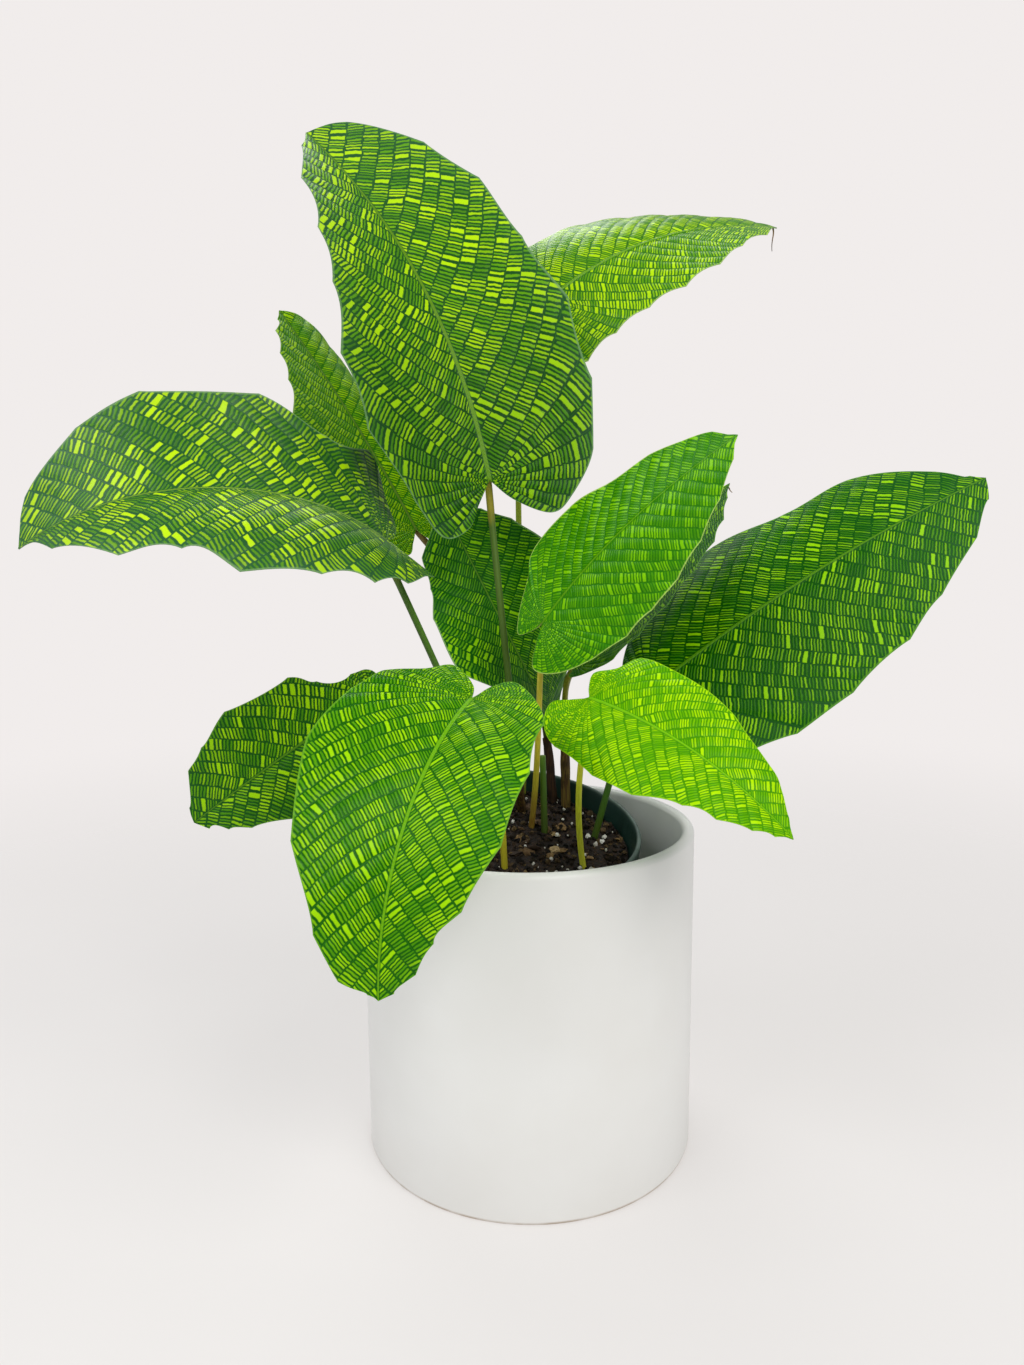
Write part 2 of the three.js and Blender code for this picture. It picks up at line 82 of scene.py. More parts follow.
def turn_profile(name, profile, sides, smooth_under=35):
    """A closed turned piece from a profile of [radius, height] points that ends on its inner floor."""
    piece = start_disc(name, *profile[0], sides)
    for old, new in zip(profile, profile[1:]):
        raise_ring(old, new)
    bpy.ops.mesh.select_all(action="SELECT")
    bpy.ops.mesh.normals_make_consistent(inside=False)
    bpy.ops.object.mode_set(mode="OBJECT")
    bpy.ops.object.shade_smooth_by_angle(angle=math.radians(smooth_under))
    return piece


def round_corner(radius, height, size, start, end, steps):
    """Points of an arc round [radius, height] in the profile, its angles in degrees."""
    points = []
    for i in range(steps + 1):
        angle = math.radians(start + (end - start) * i / steps)
        points.append((radius + size * math.cos(angle), height + size * math.sin(angle)))
    return points


cover_pot = turn_profile(
    "cover_pot",
    [
        (POT_RADIUS - FOOT_BEVEL, 0),
        (POT_RADIUS - FOOT_ROUND, FOOT_ROUND),
        (POT_RADIUS, FOOT_BEVEL),
        (POT_RADIUS, 60),
        (POT_RADIUS, 120),
        (POT_RADIUS, POT_HEIGHT - RIM_ROUND - 1.5),
        *round_corner(POT_RADIUS - RIM_ROUND, POT_HEIGHT - RIM_ROUND, RIM_ROUND, 0, 180, steps=16),
        (POT_INNER, 120),
        (POT_INNER, 60),
        (POT_INNER, POT_FLOOR + POT_CORNER),
        *round_corner(POT_INNER - POT_CORNER, POT_FLOOR + POT_CORNER, POT_CORNER, 0, -90, steps=4),
        (30, POT_FLOOR),
    ],
    sides=160,
)


class Nodes:
    """A material's node tree, with one call for each node that is added and joined up.

    An input is a number, a colour or the output of another node.
    """

    def __init__(self, name):
        self.material = bpy.data.materials.new(name)
        self.material.use_nodes = True
        self.tree = self.material.node_tree
        self.shader = self.tree.nodes["Principled BSDF"]
        self.output = self.tree.nodes["Material Output"]

    def add(self, kind, inputs=(), **settings):
        made = self.tree.nodes.new("ShaderNode" + kind)
        for key, value in settings.items():
            setattr(made, key, value)
        for key, value in dict(inputs).items():
            self.put(made, key, value)
        return made

    def put(self, made, key, value):
        """Sets an input, or joins the output that feeds it."""
        if isinstance(value, bpy.types.NodeSocket):
            self.tree.links.new(value, made.inputs[key])
        else:
            made.inputs[key].default_value = value

    def math(self, operation, a, b=0.0, c=0.0):
        return self.add("Math", {0: a, 1: b, 2: c}, operation=operation).outputs[0]

    def step(self, value, low, high, to_low=0.0, to_high=1.0):
        """A smooth step: to_low below low, to_high above high."""
        made = self.add(
            "MapRange",
            {0: value, 1: low, 2: high, 3: to_low, 4: to_high},
            interpolation_type="SMOOTHSTEP",
        )
        return made.outputs[0]

    def mix(self, share, a, b, blend="MIX"):
        """A colour between a and b."""
        made = self.add("Mix", {0: share, 6: a, 7: b}, data_type="RGBA", blend_type=blend)
        return made.outputs[2]

    def noise(self, vector, scale, detail=2.0, rough=0.5):
        made = self.add(
            "TexNoise", {"Vector": vector, "Scale": scale, "Detail": detail, "Roughness": rough}
        )
        return made.outputs[0]

    def place(self):
        """Where on the object a point is, in metres."""
        return self.add("TexCoord").outputs["Object"]

    def ramp(self, value, stops):
        """A run of colours, from [share, colour] to [share, colour]."""
        made = self.add("ValToRGB", {0: value})
        ramp = made.color_ramp
        while len(ramp.elements) < len(stops):
            ramp.elements.new(0.5)
        for element, (position, colour) in zip(ramp.elements, stops):
            element.position = position
            element.color = (*colour, 1)
        return made.outputs[0]

    def bump(self, height, strength, distance, below=None):
        inputs = {"Height": height, "Strength": strength, "Distance": distance}
        if below is not None:
            inputs["Normal"] = below
        return self.add("Bump", inputs).outputs[0]

    def finish(self, **sockets):
        """Sets the shader's own sockets, named with _ for each space."""
        for key, value in sockets.items():
            self.put(self.shader, key.replace("_", " "), value)
        return self.material


def dress(piece, material, slot, *nodes):
    """Gives a finished piece its material, and lets it stand for its CAD nodes; its slot is not used."""
    piece.data.materials.clear()
    piece.data.materials.append(material)
    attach(piece, "root")
    if nodes:
        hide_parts(*nodes)


# The glaze is a little uneven, worn to bare clay at the foot, and pitted. Its inside is painted paler as
# painted light.
glaze = Nodes("satin_white_glaze")
place = glaze.place()
height_mm = glaze.math("MULTIPLY", glaze.add("SeparateXYZ", {0: place}).outputs[2], 1000.0)
cloud = glaze.noise(place, 22.0, 3.0)
tint = glaze.mix(cloud, (0.80, 0.79, 0.755, 1), (0.87, 0.87, 0.85, 1))
level = glaze.add("VectorMath", {0: place, 1: (1, 1, 0)}, operation="MULTIPLY").outputs[0]
from_axis = glaze.add("VectorMath", {0: level}, operation="LENGTH").outputs["Value"]
# Painted light: the inner wall and floor are painted paler than the glaze outside, for light on the shaded
# inside of the pot.
inside = glaze.step(from_axis, (POT_INNER - 0.3) * MM, (POT_INNER + 1) * MM, 1.0, 0.0)
tint = glaze.mix(inside, tint, (0.95, 0.955, 0.93, 1))
foot = glaze.step(height_mm, 0.5, 2.0, 1.0, 0.0)
bare = glaze.math("MULTIPLY", foot, glaze.step(glaze.noise(place, 90.0), 0.3, 0.6, 0.5, 1.0))
tint = glaze.mix(bare, tint, (0.42, 0.33, 0.24, 1))
pits = glaze.add("TexVoronoi", {"Vector": place, "Scale": 42.0}, feature="F1")
pit_size = glaze.add("SeparateColor", {0: pits.outputs["Color"]}).outputs[0]
pit = glaze.math(
    "MULTIPLY",
    glaze.step(pits.outputs["Distance"], 0.018, 0.035, 1.0, 0.0),
    glaze.step(pit_size, 0.90, 0.93),
)
tint = glaze.mix(glaze.math("MULTIPLY", pit, 0.6), tint, (0.30, 0.26, 0.22, 1))
ripple = glaze.noise(place, 130.0, 2.0)
dress(
    cover_pot,
    glaze.finish(
        Base_Color=tint,
        Roughness=glaze.step(glaze.noise(place, 35.0), 0.2, 0.8, 0.34, 0.46),
        Specular_IOR_Level=0.45,
        Normal=glaze.bump(ripple, 0.06, 0.0004),
    ),
    "white_ceramic",
    "outer_pot",
)


# Nursery pot: thin dark green plastic, moulded with a rolled rim and drain holes in its base. It
# stands on the edge of its base inside the cover pot and leans on the left wall, so the rim is
# high at the back and low in front.
LINER_RADIUS = 65.8
LINER_LIP = LINER_RADIUS + 1.8
LINER_LIP_HEIGHT = 7.0
LINER_WALL = 1.4
LINER_BASE_RADIUS = 42.0
LINER_DEPTH = 152.2
LINER_RIM_CENTRE = Vector((-9.5, -1, 165))
LINER_LEAN = Matrix.Rotation(math.radians(11), 4, "X") @ Matrix.Rotation(math.radians(5), 4, "Y")
DRAIN_HOLES = 5
DRAIN_RADIUS = 4.0
DRAIN_CIRCLE = 27.0


def lean_in_pot(piece):
    """Puts a piece that was made upright, with the rim's centre at the origin, where it stands."""
    piece.data.transform(Matrix.Translation(LINER_RIM_CENTRE * MM) @ LINER_LEAN)
    piece.data.update()


def liner_radius(depth):
    """The outer radius of the tapered wall at a depth under the rim."""
    return LINER_RADIUS + (LINER_BASE_RADIUS - LINER_RADIUS) * depth / LINER_DEPTH


nursery_pot = turn_profile(
    "nursery_pot_piece",
    [
        (LINER_BASE_RADIUS - 1.5, -LINER_DEPTH),
        (LINER_BASE_RADIUS, -LINER_DEPTH + 1.5),
        (liner_radius(90), -90),
        (liner_radius(30), -30),
        (liner_radius(LINER_LIP_HEIGHT) - 0.2, -LINER_LIP_HEIGHT - 0.2),
        (LINER_LIP - 0.5, -LINER_LIP_HEIGHT),
        (LINER_LIP, -LINER_LIP_HEIGHT + 0.8),
        (LINER_LIP, -1.4),
        *round_corner(LINER_LIP - 1.2, -1.2, 1.2, 15, 165, steps=6),
        (LINER_RADIUS - LINER_WALL, -3.4),
        (liner_radius(30) - LINER_WALL, -30),
        (liner_radius(90) - LINER_WALL, -90),
        (liner_radius(148) - LINER_WALL, -LINER_DEPTH + 3),
        (LINER_BASE_RADIUS - 4, -LINER_DEPTH + LINER_WALL),
        (8, -LINER_DEPTH + LINER_WALL),
    ],
    sides=120,
)
for i in range(DRAIN_HOLES):
    angle = 2 * math.pi * i / DRAIN_HOLES
    bpy.ops.object.select_all(action="DESELECT")
    bpy.ops.mesh.primitive_cylinder_add(
        vertices=24,
        radius=DRAIN_RADIUS * MM,
        depth=6 * LINER_WALL * MM,
        location=(
            DRAIN_CIRCLE * math.cos(angle) * MM,
            DRAIN_CIRCLE * math.sin(angle) * MM,
            -LINER_DEPTH * MM,
        ),
    )
    drill = bpy.context.object
    cut = nursery_pot.modifiers.new("drain", "BOOLEAN")
    cut.operation = "DIFFERENCE"
    cut.object = drill
    bpy.context.view_layer.objects.active = nursery_pot
    bpy.ops.object.modifier_apply(modifier=cut.name)
    bpy.data.objects.remove(drill)
lean_in_pot(nursery_pot)

# The plastic is dull from handling, dusty with peat, and worn pale along the rim.
plastic = Nodes("green_plastic")
place = plastic.place()
scuffs = plastic.noise(place, 260.0, 4.0, 0.7)
tint = plastic.mix(plastic.noise(place, 30.0), (0.004, 0.024, 0.018, 1), (0.010, 0.046, 0.034, 1))
upright = plastic.add(
    "Mapping",
    {"Vector": place, "Location": LINER_RIM_CENTRE * MM, "Rotation": LINER_LEAN.to_euler()},
    vector_type="TEXTURE",
).outputs[0]
below_rim = plastic.add("SeparateXYZ", {0: upright}).outputs[2]
worn = plastic.math(
    "MULTIPLY",
    plastic.step(below_rim, -1.6 * MM, 0.0),
    plastic.step(plastic.noise(place, 60.0, 3.0), 0.3, 0.7, 0.25, 0.8),
)
tint = plastic.mix(worn, tint, (0.16, 0.23, 0.19, 1))
dust = plastic.math("MULTIPLY", plastic.step(scuffs, 0.55, 0.8), 0.35)
tint = plastic.mix(dust, tint, (0.06, 0.07, 0.05, 1))
dress(
    nursery_pot,
    plastic.finish(
        Base_Color=tint,
        Roughness=plastic.step(scuffs, 0.3, 0.8, 0.36, 0.6),
        Specular_IOR_Level=0.4,
        Normal=plastic.bump(scuffs, 0.08, 0.0003),
    ),
    "green_plastic",
    "nursery_pot",
)


# Soil: dark peat pressed into the nursery pot round the stems, with chips of bark and white
# perlite through it. It is raised as a plug whose top is pulled up and down, and the chips and
# grains are pressed into that top.
SOIL_DROP = 11.0
SOIL_CLEAR = 0.3
SOIL_RINGS = 22
SOIL_RADIUS = liner_radius(SOIL_DROP) - LINER_WALL - SOIL_CLEAR
SOIL_BOTTOM = -LINER_DEPTH + LINER_WALL + 2 * SOIL_CLEAR

plug = [
    (LINER_BASE_RADIUS - LINER_WALL - 1, SOIL_BOTTOM),
    (liner_radius(90) - 1.8, -90),
    (SOIL_RADIUS, -SOIL_DROP - 0.6),
    (SOIL_RADIUS - 0.6, -SOIL_DROP),
]
soil = start_disc("soil_piece", *plug[0], 120)
for old, new in zip(plug, plug[1:]):
    raise_ring(old, new)
for _ in range(SOIL_RINGS):
    bpy.ops.mesh.inset(thickness=(SOIL_RADIUS - 1) / (SOIL_RINGS + 1) * MM)
bpy.ops.mesh.poke()
bpy.ops.mesh.select_all(action="SELECT")
bpy.ops.mesh.normals_make_consistent(inside=False)
bpy.ops.object.mode_set(mode="OBJECT")
for vertex in soil.data.vertices:
    radius = vertex.co.xy.length / MM
    if vertex.co.z > (-SOIL_DROP - 0.1) * MM and radius < SOIL_RADIUS - 1:
        rough = noise.fractal(vertex.co * 170, 0.8, 2.2, 4)
        heaped = noise.noise(vertex.co * 55)
        vertex.co.z += (0.9 * rough + 0.9 * heaped) * MM
        vertex.co.z = min(vertex.co.z, (-SOIL_DROP + 1.8) * MM)
bpy.ops.object.shade_smooth()
lean_in_pot(soil)

peat = Nodes("dark_peat")
place = peat.place()
fine = peat.noise(place, 620.0, 4.0, 0.65)
crumb = peat.add("TexVoronoi", {"Vector": place, "Scale": 420.0}, feature="F1")
tint = peat.ramp(
    fine,
    [
        (0.30, (0.006, 0.004, 0.003)),
        (0.52, (0.020, 0.012, 0.008)),
        (0.66, (0.060, 0.032, 0.018)),
        (0.80, (0.150, 0.085, 0.045)),
    ],
)
dress(
    soil,
    peat.finish(
        Base_Color=tint,
        Roughness=peat.step(fine, 0.3, 0.7, 0.65, 0.95),
        Specular_IOR_Level=0.3,
        Normal=peat.bump(fine, 0.7, 0.0012, peat.bump(crumb.outputs["Distance"], 0.6, 0.0010)),
    ),
    "soil",
    "soil",
)


# Leaves: eleven blades, each on a stalk of its own, grown from one root in the soil. This is how
# each leaf stands and bends, for its blade and its stalk alike, in mm and degrees.

# A midrib starts at "base". It heads and rises as said for its middle, with the change from base to
# tip, and "roll" turns the face at its base and its tip. Each half has its width, folds up from the
# midrib and curls on outwards. Its margin runs through four points round the lobe and six teeth,
# each given along the midrib and out from it. A stalk has its foot on the soil, its lean there, and
# how far its last bend reaches back and down from the blade.
BLADES = {
    "tall": {
        "base": (-18, 5, 337), "length": 215, "heading": (150, 11), "rise": (59, -35),
        "roll": (-43, -38),
        "left": {
            "width": 62, "fold": 17, "curl": 16,
            "lobe": [(-12, 9), (-23, 17), (-26, 32), (-8, 44)],
            "teeth": [(28, 63), (66, 67), (106, 55), (140, 46), (175, 34), (203, 13)],
        },
        "right": {
            "width": 61, "fold": 14, "curl": 2,
            "lobe": [(-12, 10), (-22, 27), (-15, 39), (4, 53)],
            "teeth": [(34, 61), (72, 64), (107, 57), (143, 55), (174, 44), (207, 21)],
        },
        "foot": (-3, 36), "lean": (-4, -47, 61), "reach": (18, 16),
    },
    "back_right": {
        "base": (13, 60, 435), "length": 149, "heading": (17, 3), "rise": (19, -41),
        "roll": (64, 26),
        "left": {
            "width": 42, "fold": 3, "curl": -36,
            "lobe": [(-11, 6), (-14, 16), (-9, 29), (8, 39)],
            "teeth": [(30, 42), (55, 47), (80, 43), (103, 38), (125, 32), (142, 11)],
        },
        "right": {
            "width": 42, "fold": 2, "curl": 2,
            "lobe": [(-14, 6), (-20, 16), (-18, 30), (-10, 42)],
            "teeth": [(13, 41), (38, 42), (63, 44), (88, 41), (109, 31), (130, 22)],
        },
        "foot": (-2, 56), "lean": (5, 31, 100), "reach": (43, 10),
    },
    "back_left": {
        "base": (-60, 58, 314), "length": 163, "heading": (146, 9), "rise": (52, -5),
        "roll": (-36, -26),
        "left": {
            "width": 45, "fold": 19, "curl": 21,
            "lobe": [(-8, 6), (-15, 13), (-10, 29), (6, 42)],
            "teeth": [(42, 48), (76, 46), (104, 32), (125, 25), (144, 16), (155, 7)],
        },
        "right": {
            "width": 32, "fold": 12, "curl": -100,
            "lobe": [(-10, 5), (-16, 13), (-10, 25), (4, 33)],
            "teeth": [(29, 34), (58, 34), (86, 33), (112, 30), (137, 24), (155, 13)],
        },
        "foot": (-8, 48), "lean": (16, 11, 88), "reach": (10, 1),
    },
    "left": {
        "base": (-66, -25, 308), "length": 173, "heading": (197, -62), "rise": (-1, -64),
        "roll": (-36, -47),
        "left": {
            "width": 49, "fold": 16, "curl": -36,
            "lobe": [(-14, 3), (-28, 9), (-12, 25), (5, 42)],
            "teeth": [(22, 48), (45, 49), (77, 50), (98, 38), (122, 36), (150, 20)],
        },
        "right": {
            "width": 48, "fold": 14, "curl": 16,
            "lobe": [(-7, 7), (-9, 17), (-3, 30), (3, 44)],
            "teeth": [(11, 50), (35, 41), (65, 50), (109, 49), (135, 40), (164, 22)],
        },
        "foot": (-16, 22), "lean": (-11, -5, 44), "reach": (18, 9),
    },
    "low_left": {
        "base": (-73, -35, 236), "length": 106, "heading": (180, -8), "rise": (-35, -5),
        "roll": (-71, -78),
        "left": {
            "width": 30, "fold": 5, "curl": -16,
            "lobe": [(-8, 4), (-10, 12), (-6, 21), (6, 28)],
            "teeth": [(25, 31), (45, 31), (62, 28), (83, 19), (93, 13), (101, 7)],
        },
        "right": {
            "width": 31, "fold": 14, "curl": -1,
            "lobe": [(-5, 3), (-7, 8), (-4, 12), (3, 14)],
            "teeth": [(18, 20), (28, 29), (61, 33), (80, 26), (92, 21), (103, 7)],
        },
        "foot": (-24, 2), "lean": (-8, -4, 60), "reach": (20, 5),
    },
    "front": {
        "base": (-25, -78, 241), "length": 136, "heading": (243, -4), "rise": (-54, -72),
        "roll": (-11, -43),
        "left": {
            "width": 41, "fold": 17, "curl": -4,
            "lobe": [(-11, 4), (-15, 14), (2, 31), (16, 40)],
            "teeth": [(39, 42), (70, 39), (98, 29), (112, 20), (125, 14), (133, 6)],
        },
        "right": {
            "width": 46, "fold": 10, "curl": -8,
            "lobe": [(-10, 4), (-19, 18), (-9, 27), (3, 41)],
            "teeth": [(22, 45), (50, 48), (85, 39), (112, 25), (127, 15), (133, 4)],
        },
        "foot": (-12, -27), "lean": (-2, -8, 60), "reach": (25, 6),
    },
    "low_right": {
        "base": (27, -52, 237), "length": 111, "heading": (325, 27), "rise": (-27, -40),
        "roll": (44, 30),
        "left": {
            "width": 31, "fold": 3, "curl": -17,
            "lobe": [(-4, 5), (-7, 13), (2, 19), (9, 30)],
            "teeth": [(30, 31), (54, 29), (68, 24), (84, 19), (94, 14), (104, 6)],
        },
        "right": {
            "width": 32, "fold": 7, "curl": -23,
            "lobe": [(-8, 4), (-17, 9), (-13, 20), (0, 28)],
            "teeth": [(28, 33), (50, 32), (70, 24), (84, 20), (97, 13), (105, 7)],
        },
        "foot": (27, -20), "lean": (-7, -3, 45), "reach": (7, 6),
    },
    "young": {
        "base": (7, -25, 269), "length": 122, "heading": (340, 10), "rise": (43, -19),
        "roll": (70, 71),
        "left": {
            "width": 31, "fold": -7, "curl": -5,
            "lobe": [(-8, 3), (-14, 9), (-5, 18), (8, 26)],
            "teeth": [(20, 35), (46, 33), (66, 25), (87, 21), (104, 14), (114, 9)],
        },
        "right": {
            "width": 35, "fold": -2, "curl": -30,
            "lobe": [(-10, 4), (-20, 11), (-13, 22), (4, 31)],
            "teeth": [(24, 36), (42, 36), (62, 34), (82, 28), (100, 19), (115, 8)],
        },
        "foot": (2, 17), "lean": (6, -11, 54), "reach": (17, 5),
    },
    "right": {
        "base": (63, 5, 232), "length": 206, "heading": (7, 11), "rise": (31, -16),
        "roll": (54, 57),
        "left": {
            "width": 57, "fold": -7, "curl": -31,
            "lobe": [(-4, 8), (-5, 20), (3, 31), (14, 40)],
            "teeth": [(30, 50), (77, 58), (115, 45), (153, 42), (188, 17), (200, 5)],
        },
        "right": {
            "width": 60, "fold": -2, "curl": -12,
            "lobe": [(-14, 8), (-19, 24), (-12, 41), (5, 54)],
            "teeth": [(43, 62), (79, 61), (120, 54), (148, 43), (182, 26), (200, 11)],
        },
        "foot": (35, 11), "lean": (13, -1, 48), "reach": (25, 6),
    },
    "centre": {
        "base": (12, 44, 212), "length": 131, "heading": (171, -44), "rise": (63, -4),
        "roll": (-25, -79),
        "left": {
            "width": 39, "fold": 3, "curl": 4,
            "lobe": [(-8, 5), (-9, 12), (-3, 19), (8, 23)],
            "teeth": [(24, 30), (46, 45), (75, 35), (90, 27), (108, 23), (122, 10)],
        },
        "right": {
            "width": 44, "fold": 1, "curl": 9,
            "lobe": [(-9, 6), (-11, 16), (-3, 28), (4, 42)],
            "teeth": [(28, 47), (60, 46), (88, 41), (105, 30), (117, 18), (126, 8)],
        },
        "foot": (15, 50), "lean": (-1, 0, 16), "reach": (15, 4),
    },
    "behind": {
        "base": (25, 5, 245), "length": 133, "heading": (27, -1), "rise": (44, 15),
        "roll": (11, 11),
        "left": {
            "width": 35, "fold": 5, "curl": 10,
            "lobe": [(-9, 4), (-12, 11), (-8, 18), (4, 23)],
            "teeth": [(25, 26), (48, 27), (72, 26), (95, 22), (112, 16), (124, 9)],
        },
        "right": {
            "width": 34, "fold": 15, "curl": 10,
            "lobe": [(-9, 5), (-8, 15), (-3, 26), (3, 36)],
            "teeth": [(20, 39), (42, 39), (66, 35), (88, 30), (105, 21), (122, 8)],
        },
        "foot": (22, 45), "lean": (-1, 1, 70), "reach": (14, -3),
    },
}
MIDRIB_STEPS = 120
SOIL_UP = (LINER_LEAN @ Vector((0, 0, 1))).normalized()
SOIL_TOP = LINER_RIM_CENTRE + LINER_LEAN @ Vector((0, 0, -SOIL_DROP))


def on_soil(x, y):
    """The point of the soil's top plane at x and y, in mm."""
    slope = SOIL_UP.x * (x - SOIL_TOP.x) + SOIL_UP.y * (y - SOIL_TOP.y)
    return np.array([x, y, SOIL_TOP.z - slope / SOIL_UP.z])


def midrib_of(blade):
    """Stations of a midrib: how far along, the point, and the ways along, out to the right and up."""
    share = np.linspace(0, 1, MIDRIB_STEPS + 1)

    def along_at(t):
        heading = np.radians(blade["heading"][0] + blade["heading"][1] * (t - 0.5))
        rise = np.radians(blade["rise"][0] + blade["rise"][1] * (t - 0.5))
        level = np.cos(rise)
        return np.stack([level * np.cos(heading), level * np.sin(heading), np.sin(rise)], -1)

    along = along_at(share)
    steps = along_at((share[1:] + share[:-1]) / 2) * blade["length"] / MIDRIB_STEPS
    point = np.vstack([np.zeros(3), np.cumsum(steps, 0)]) + np.array(blade["base"])
    face = np.array([0, 0, 1.0]) - along * along[:, 2:]
    face /= np.linalg.norm(face, axis=1)[:, None]
    out = np.cross(along, face)
    roll = np.radians(np.interp(share, (0, 1), blade["roll"]))[:, None]
    turned_out = out * np.cos(roll) - face * np.sin(roll)
    turned_face = face * np.cos(roll) + out * np.sin(roll)
    return share * blade["length"], point, along, turned_out, turned_face


for blade in BLADES.values():
    blade["midrib"] = midrib_of(blade)


# Stalks: one round stalk to each blade, solid and a little ribbed, that stands in the soil and
# bends into the underside of its blade. The last stretch below the blade is a swollen joint of
# another colour. Each stalk is a curve given a round section, with a radius at each of its points.
# For each: its radius, and the colours of its foot, its length and its joint.
STALKS = {
    "tall": (1.75, (84, 92, 30), (78, 108, 26), (150, 140, 36)),
    "back_right": (1.65, (120, 130, 30), (150, 165, 40), (165, 160, 50)),
    "back_left": (1.6, (70, 52, 26), (84, 66, 30), (120, 100, 40)),
    "left": (1.7, (84, 100, 30), (76, 118, 26), (110, 130, 36)),
    "low_left": (1.5, (96, 96, 32), (84, 104, 30), (110, 124, 40)),
    "front": (1.55, (190, 176, 44), (236, 226, 50), (226, 222, 60)),
    "low_right": (1.45, (232, 230, 70), (244, 246, 60), (220, 236, 50)),
    "young": (1.5, (150, 110, 44), (224, 208, 60), (214, 200, 60)),
    "right": (1.7, (70, 92, 22), (62, 110, 18), (90, 126, 26)),
    "centre": (1.6, (70, 60, 26), (70, 78, 26), (80, 96, 30)),
    "behind": (1.6, (120, 112, 36), (150, 152, 44), (150, 156, 44)),
}
STALK_POINTS = 64
STEM_DEPTH = 14.0
PAST_NOTCH = 3.0
UNDER_BLADE = 1.9
UNDER_MIDRIB = 1.45
INTO_MIDRIB = 26.0
JOINT_LENGTH = 22.0
JOINT_SWELL = 0.22


def paint(red, green, blue):
    """A colour read as 0 to 255 from a screen, as the light it stands for."""
    tones = [value / 255 for value in (red, green, blue)]
    return tuple(t / 12.92 if t <= 0.04045 else ((t + 0.055) / 1.055) ** 2.4 for t in tones)


def stalk_line(blade):
    """A stalk's middle line in mm: straight out of the soil, one bend, then under the midrib."""
    foot = on_soil(*blade["foot"])
    lean = np.array(blade["lean"], float)
    _, point, along, _, face = blade["midrib"]
    end = point[0] + PAST_NOTCH * along[0] - UNDER_BLADE * face[0]
    back, down = blade["reach"]
    bend = end - back * along[0] - down * face[0]
    buried = foot - lean / np.linalg.norm(lean) * STEM_DEPTH
    t = np.linspace(0, 1, STALK_POINTS)[:, None]
    rising = (1 - t) ** 3 * foot + 3 * (1 - t) ** 2 * t * (foot + lean)
    bowed = 3 * (1 - t) * t**2 * bend + t**3 * end
    return np.vstack([buried, (buried + foot) / 2, rising + bowed])


def gone_along(line):
    """How far along a line each of its points is."""
    return np.concatenate([[0], np.cumsum(np.linalg.norm(np.diff(line, axis=0), axis=1))])


def tube(name, line, radii, sides=14):
    """A round piece along a line of points in mm, whose vertices know how far along it they are."""
    curve = bpy.data.curves.new(name, "CURVE")
    curve.dimensions = "3D"
    curve.bevel_depth = MM
    curve.bevel_resolution = sides // 2 - 2
    curve.use_fill_caps = True
    curve.twist_mode = "MINIMUM"
    spline = curve.splines.new("POLY")
    spline.points.add(len(line) - 1)
    for point, position, radius in zip(spline.points, line, radii):
        point.co = (*(np.asarray(position) * MM), 1)
        point.radius = radius
    piece = bpy.data.objects.new(name, curve)
    bpy.context.collection.objects.link(piece)
    bpy.ops.object.select_all(action="DESELECT")
    piece.select_set(True)
    bpy.context.view_layer.objects.active = piece
    bpy.ops.object.convert(target="MESH")
    bpy.ops.object.mode_set(mode="EDIT")
    bpy.ops.mesh.select_all(action="SELECT")
    bpy.ops.mesh.remove_doubles(threshold=1e-6)
    bpy.ops.mesh.normals_make_consistent(inside=False)
    bpy.ops.object.mode_set(mode="OBJECT")
    bpy.ops.object.shade_smooth_by_angle(angle=math.radians(50))
    keep_share_along(piece, line)
    return piece


def keep_share_along(piece, line):
    """Stores at each vertex how far it is from the line's start and end, in mm, and as a share."""
    line = np.asarray(line)
    gone = gone_along(line)
    dense = np.linspace(0, gone[-1], 500)
    points = np.stack([np.interp(dense, gone, line[:, k]) for k in range(3)], -1)
    places = np.array([vertex.co for vertex in piece.data.vertices]) / MM
    nearest = ((places[:, None, :] - points[None]) ** 2).sum(-1).argmin(1)
    from_start = dense[nearest]
    stored = piece.data.attributes.new("along", "FLOAT_VECTOR", "POINT")
    rows = np.stack([from_start, gone[-1] - from_start, from_start / gone[-1]], -1)
    stored.data.foreach_set("vector", rows.astype(np.float32).ravel())


def stalk_skin(name, foot, main, joint, joint_from_end):
    """Green skin that turns from the foot's colour to the stalk's and then to the joint's."""
    skin = Nodes(name)
    along = skin.add("SeparateXYZ", {0: skin.add("Attribute", attribute_name="along").outputs["Vector"]})
    place = skin.place()
    streaks = skin.add("Mapping", {"Vector": place, "Scale": (900, 900, 60)}).outputs[0]
    grain = skin.add("TexNoise", {"Vector": streaks, "Scale": 1.0, "Detail": 3.0}).outputs[0]
    from_start, from_end = along.outputs[0], along.outputs[1]
    wander = skin.math("MULTIPLY", skin.noise(place, 90.0), 14.0)
    past_foot = skin.step(skin.math("SUBTRACT", from_start, wander), 8.0, 42.0)
    tint = skin.mix(past_foot, (*paint(*foot), 1), (*paint(*main), 1))
    near_blade = skin.step(skin.math("ADD", from_end, wander), joint_from_end, joint_from_end + 9, 1.0, 0.0)
    tint = skin.mix(near_blade, tint, (*paint(*joint), 1))
    tint = skin.mix(skin.step(grain, 0.35, 0.75, 0.0, 0.45), tint, (*paint(*[c * 0.8 for c in main]), 1))
    return skin.finish(
        Base_Color=tint,
        Roughness=skin.step(grain, 0.3, 0.7, 0.38, 0.55),
        Specular_IOR_Level=0.4,
        Normal=skin.bump(grain, 0.25, 0.0003),
    )


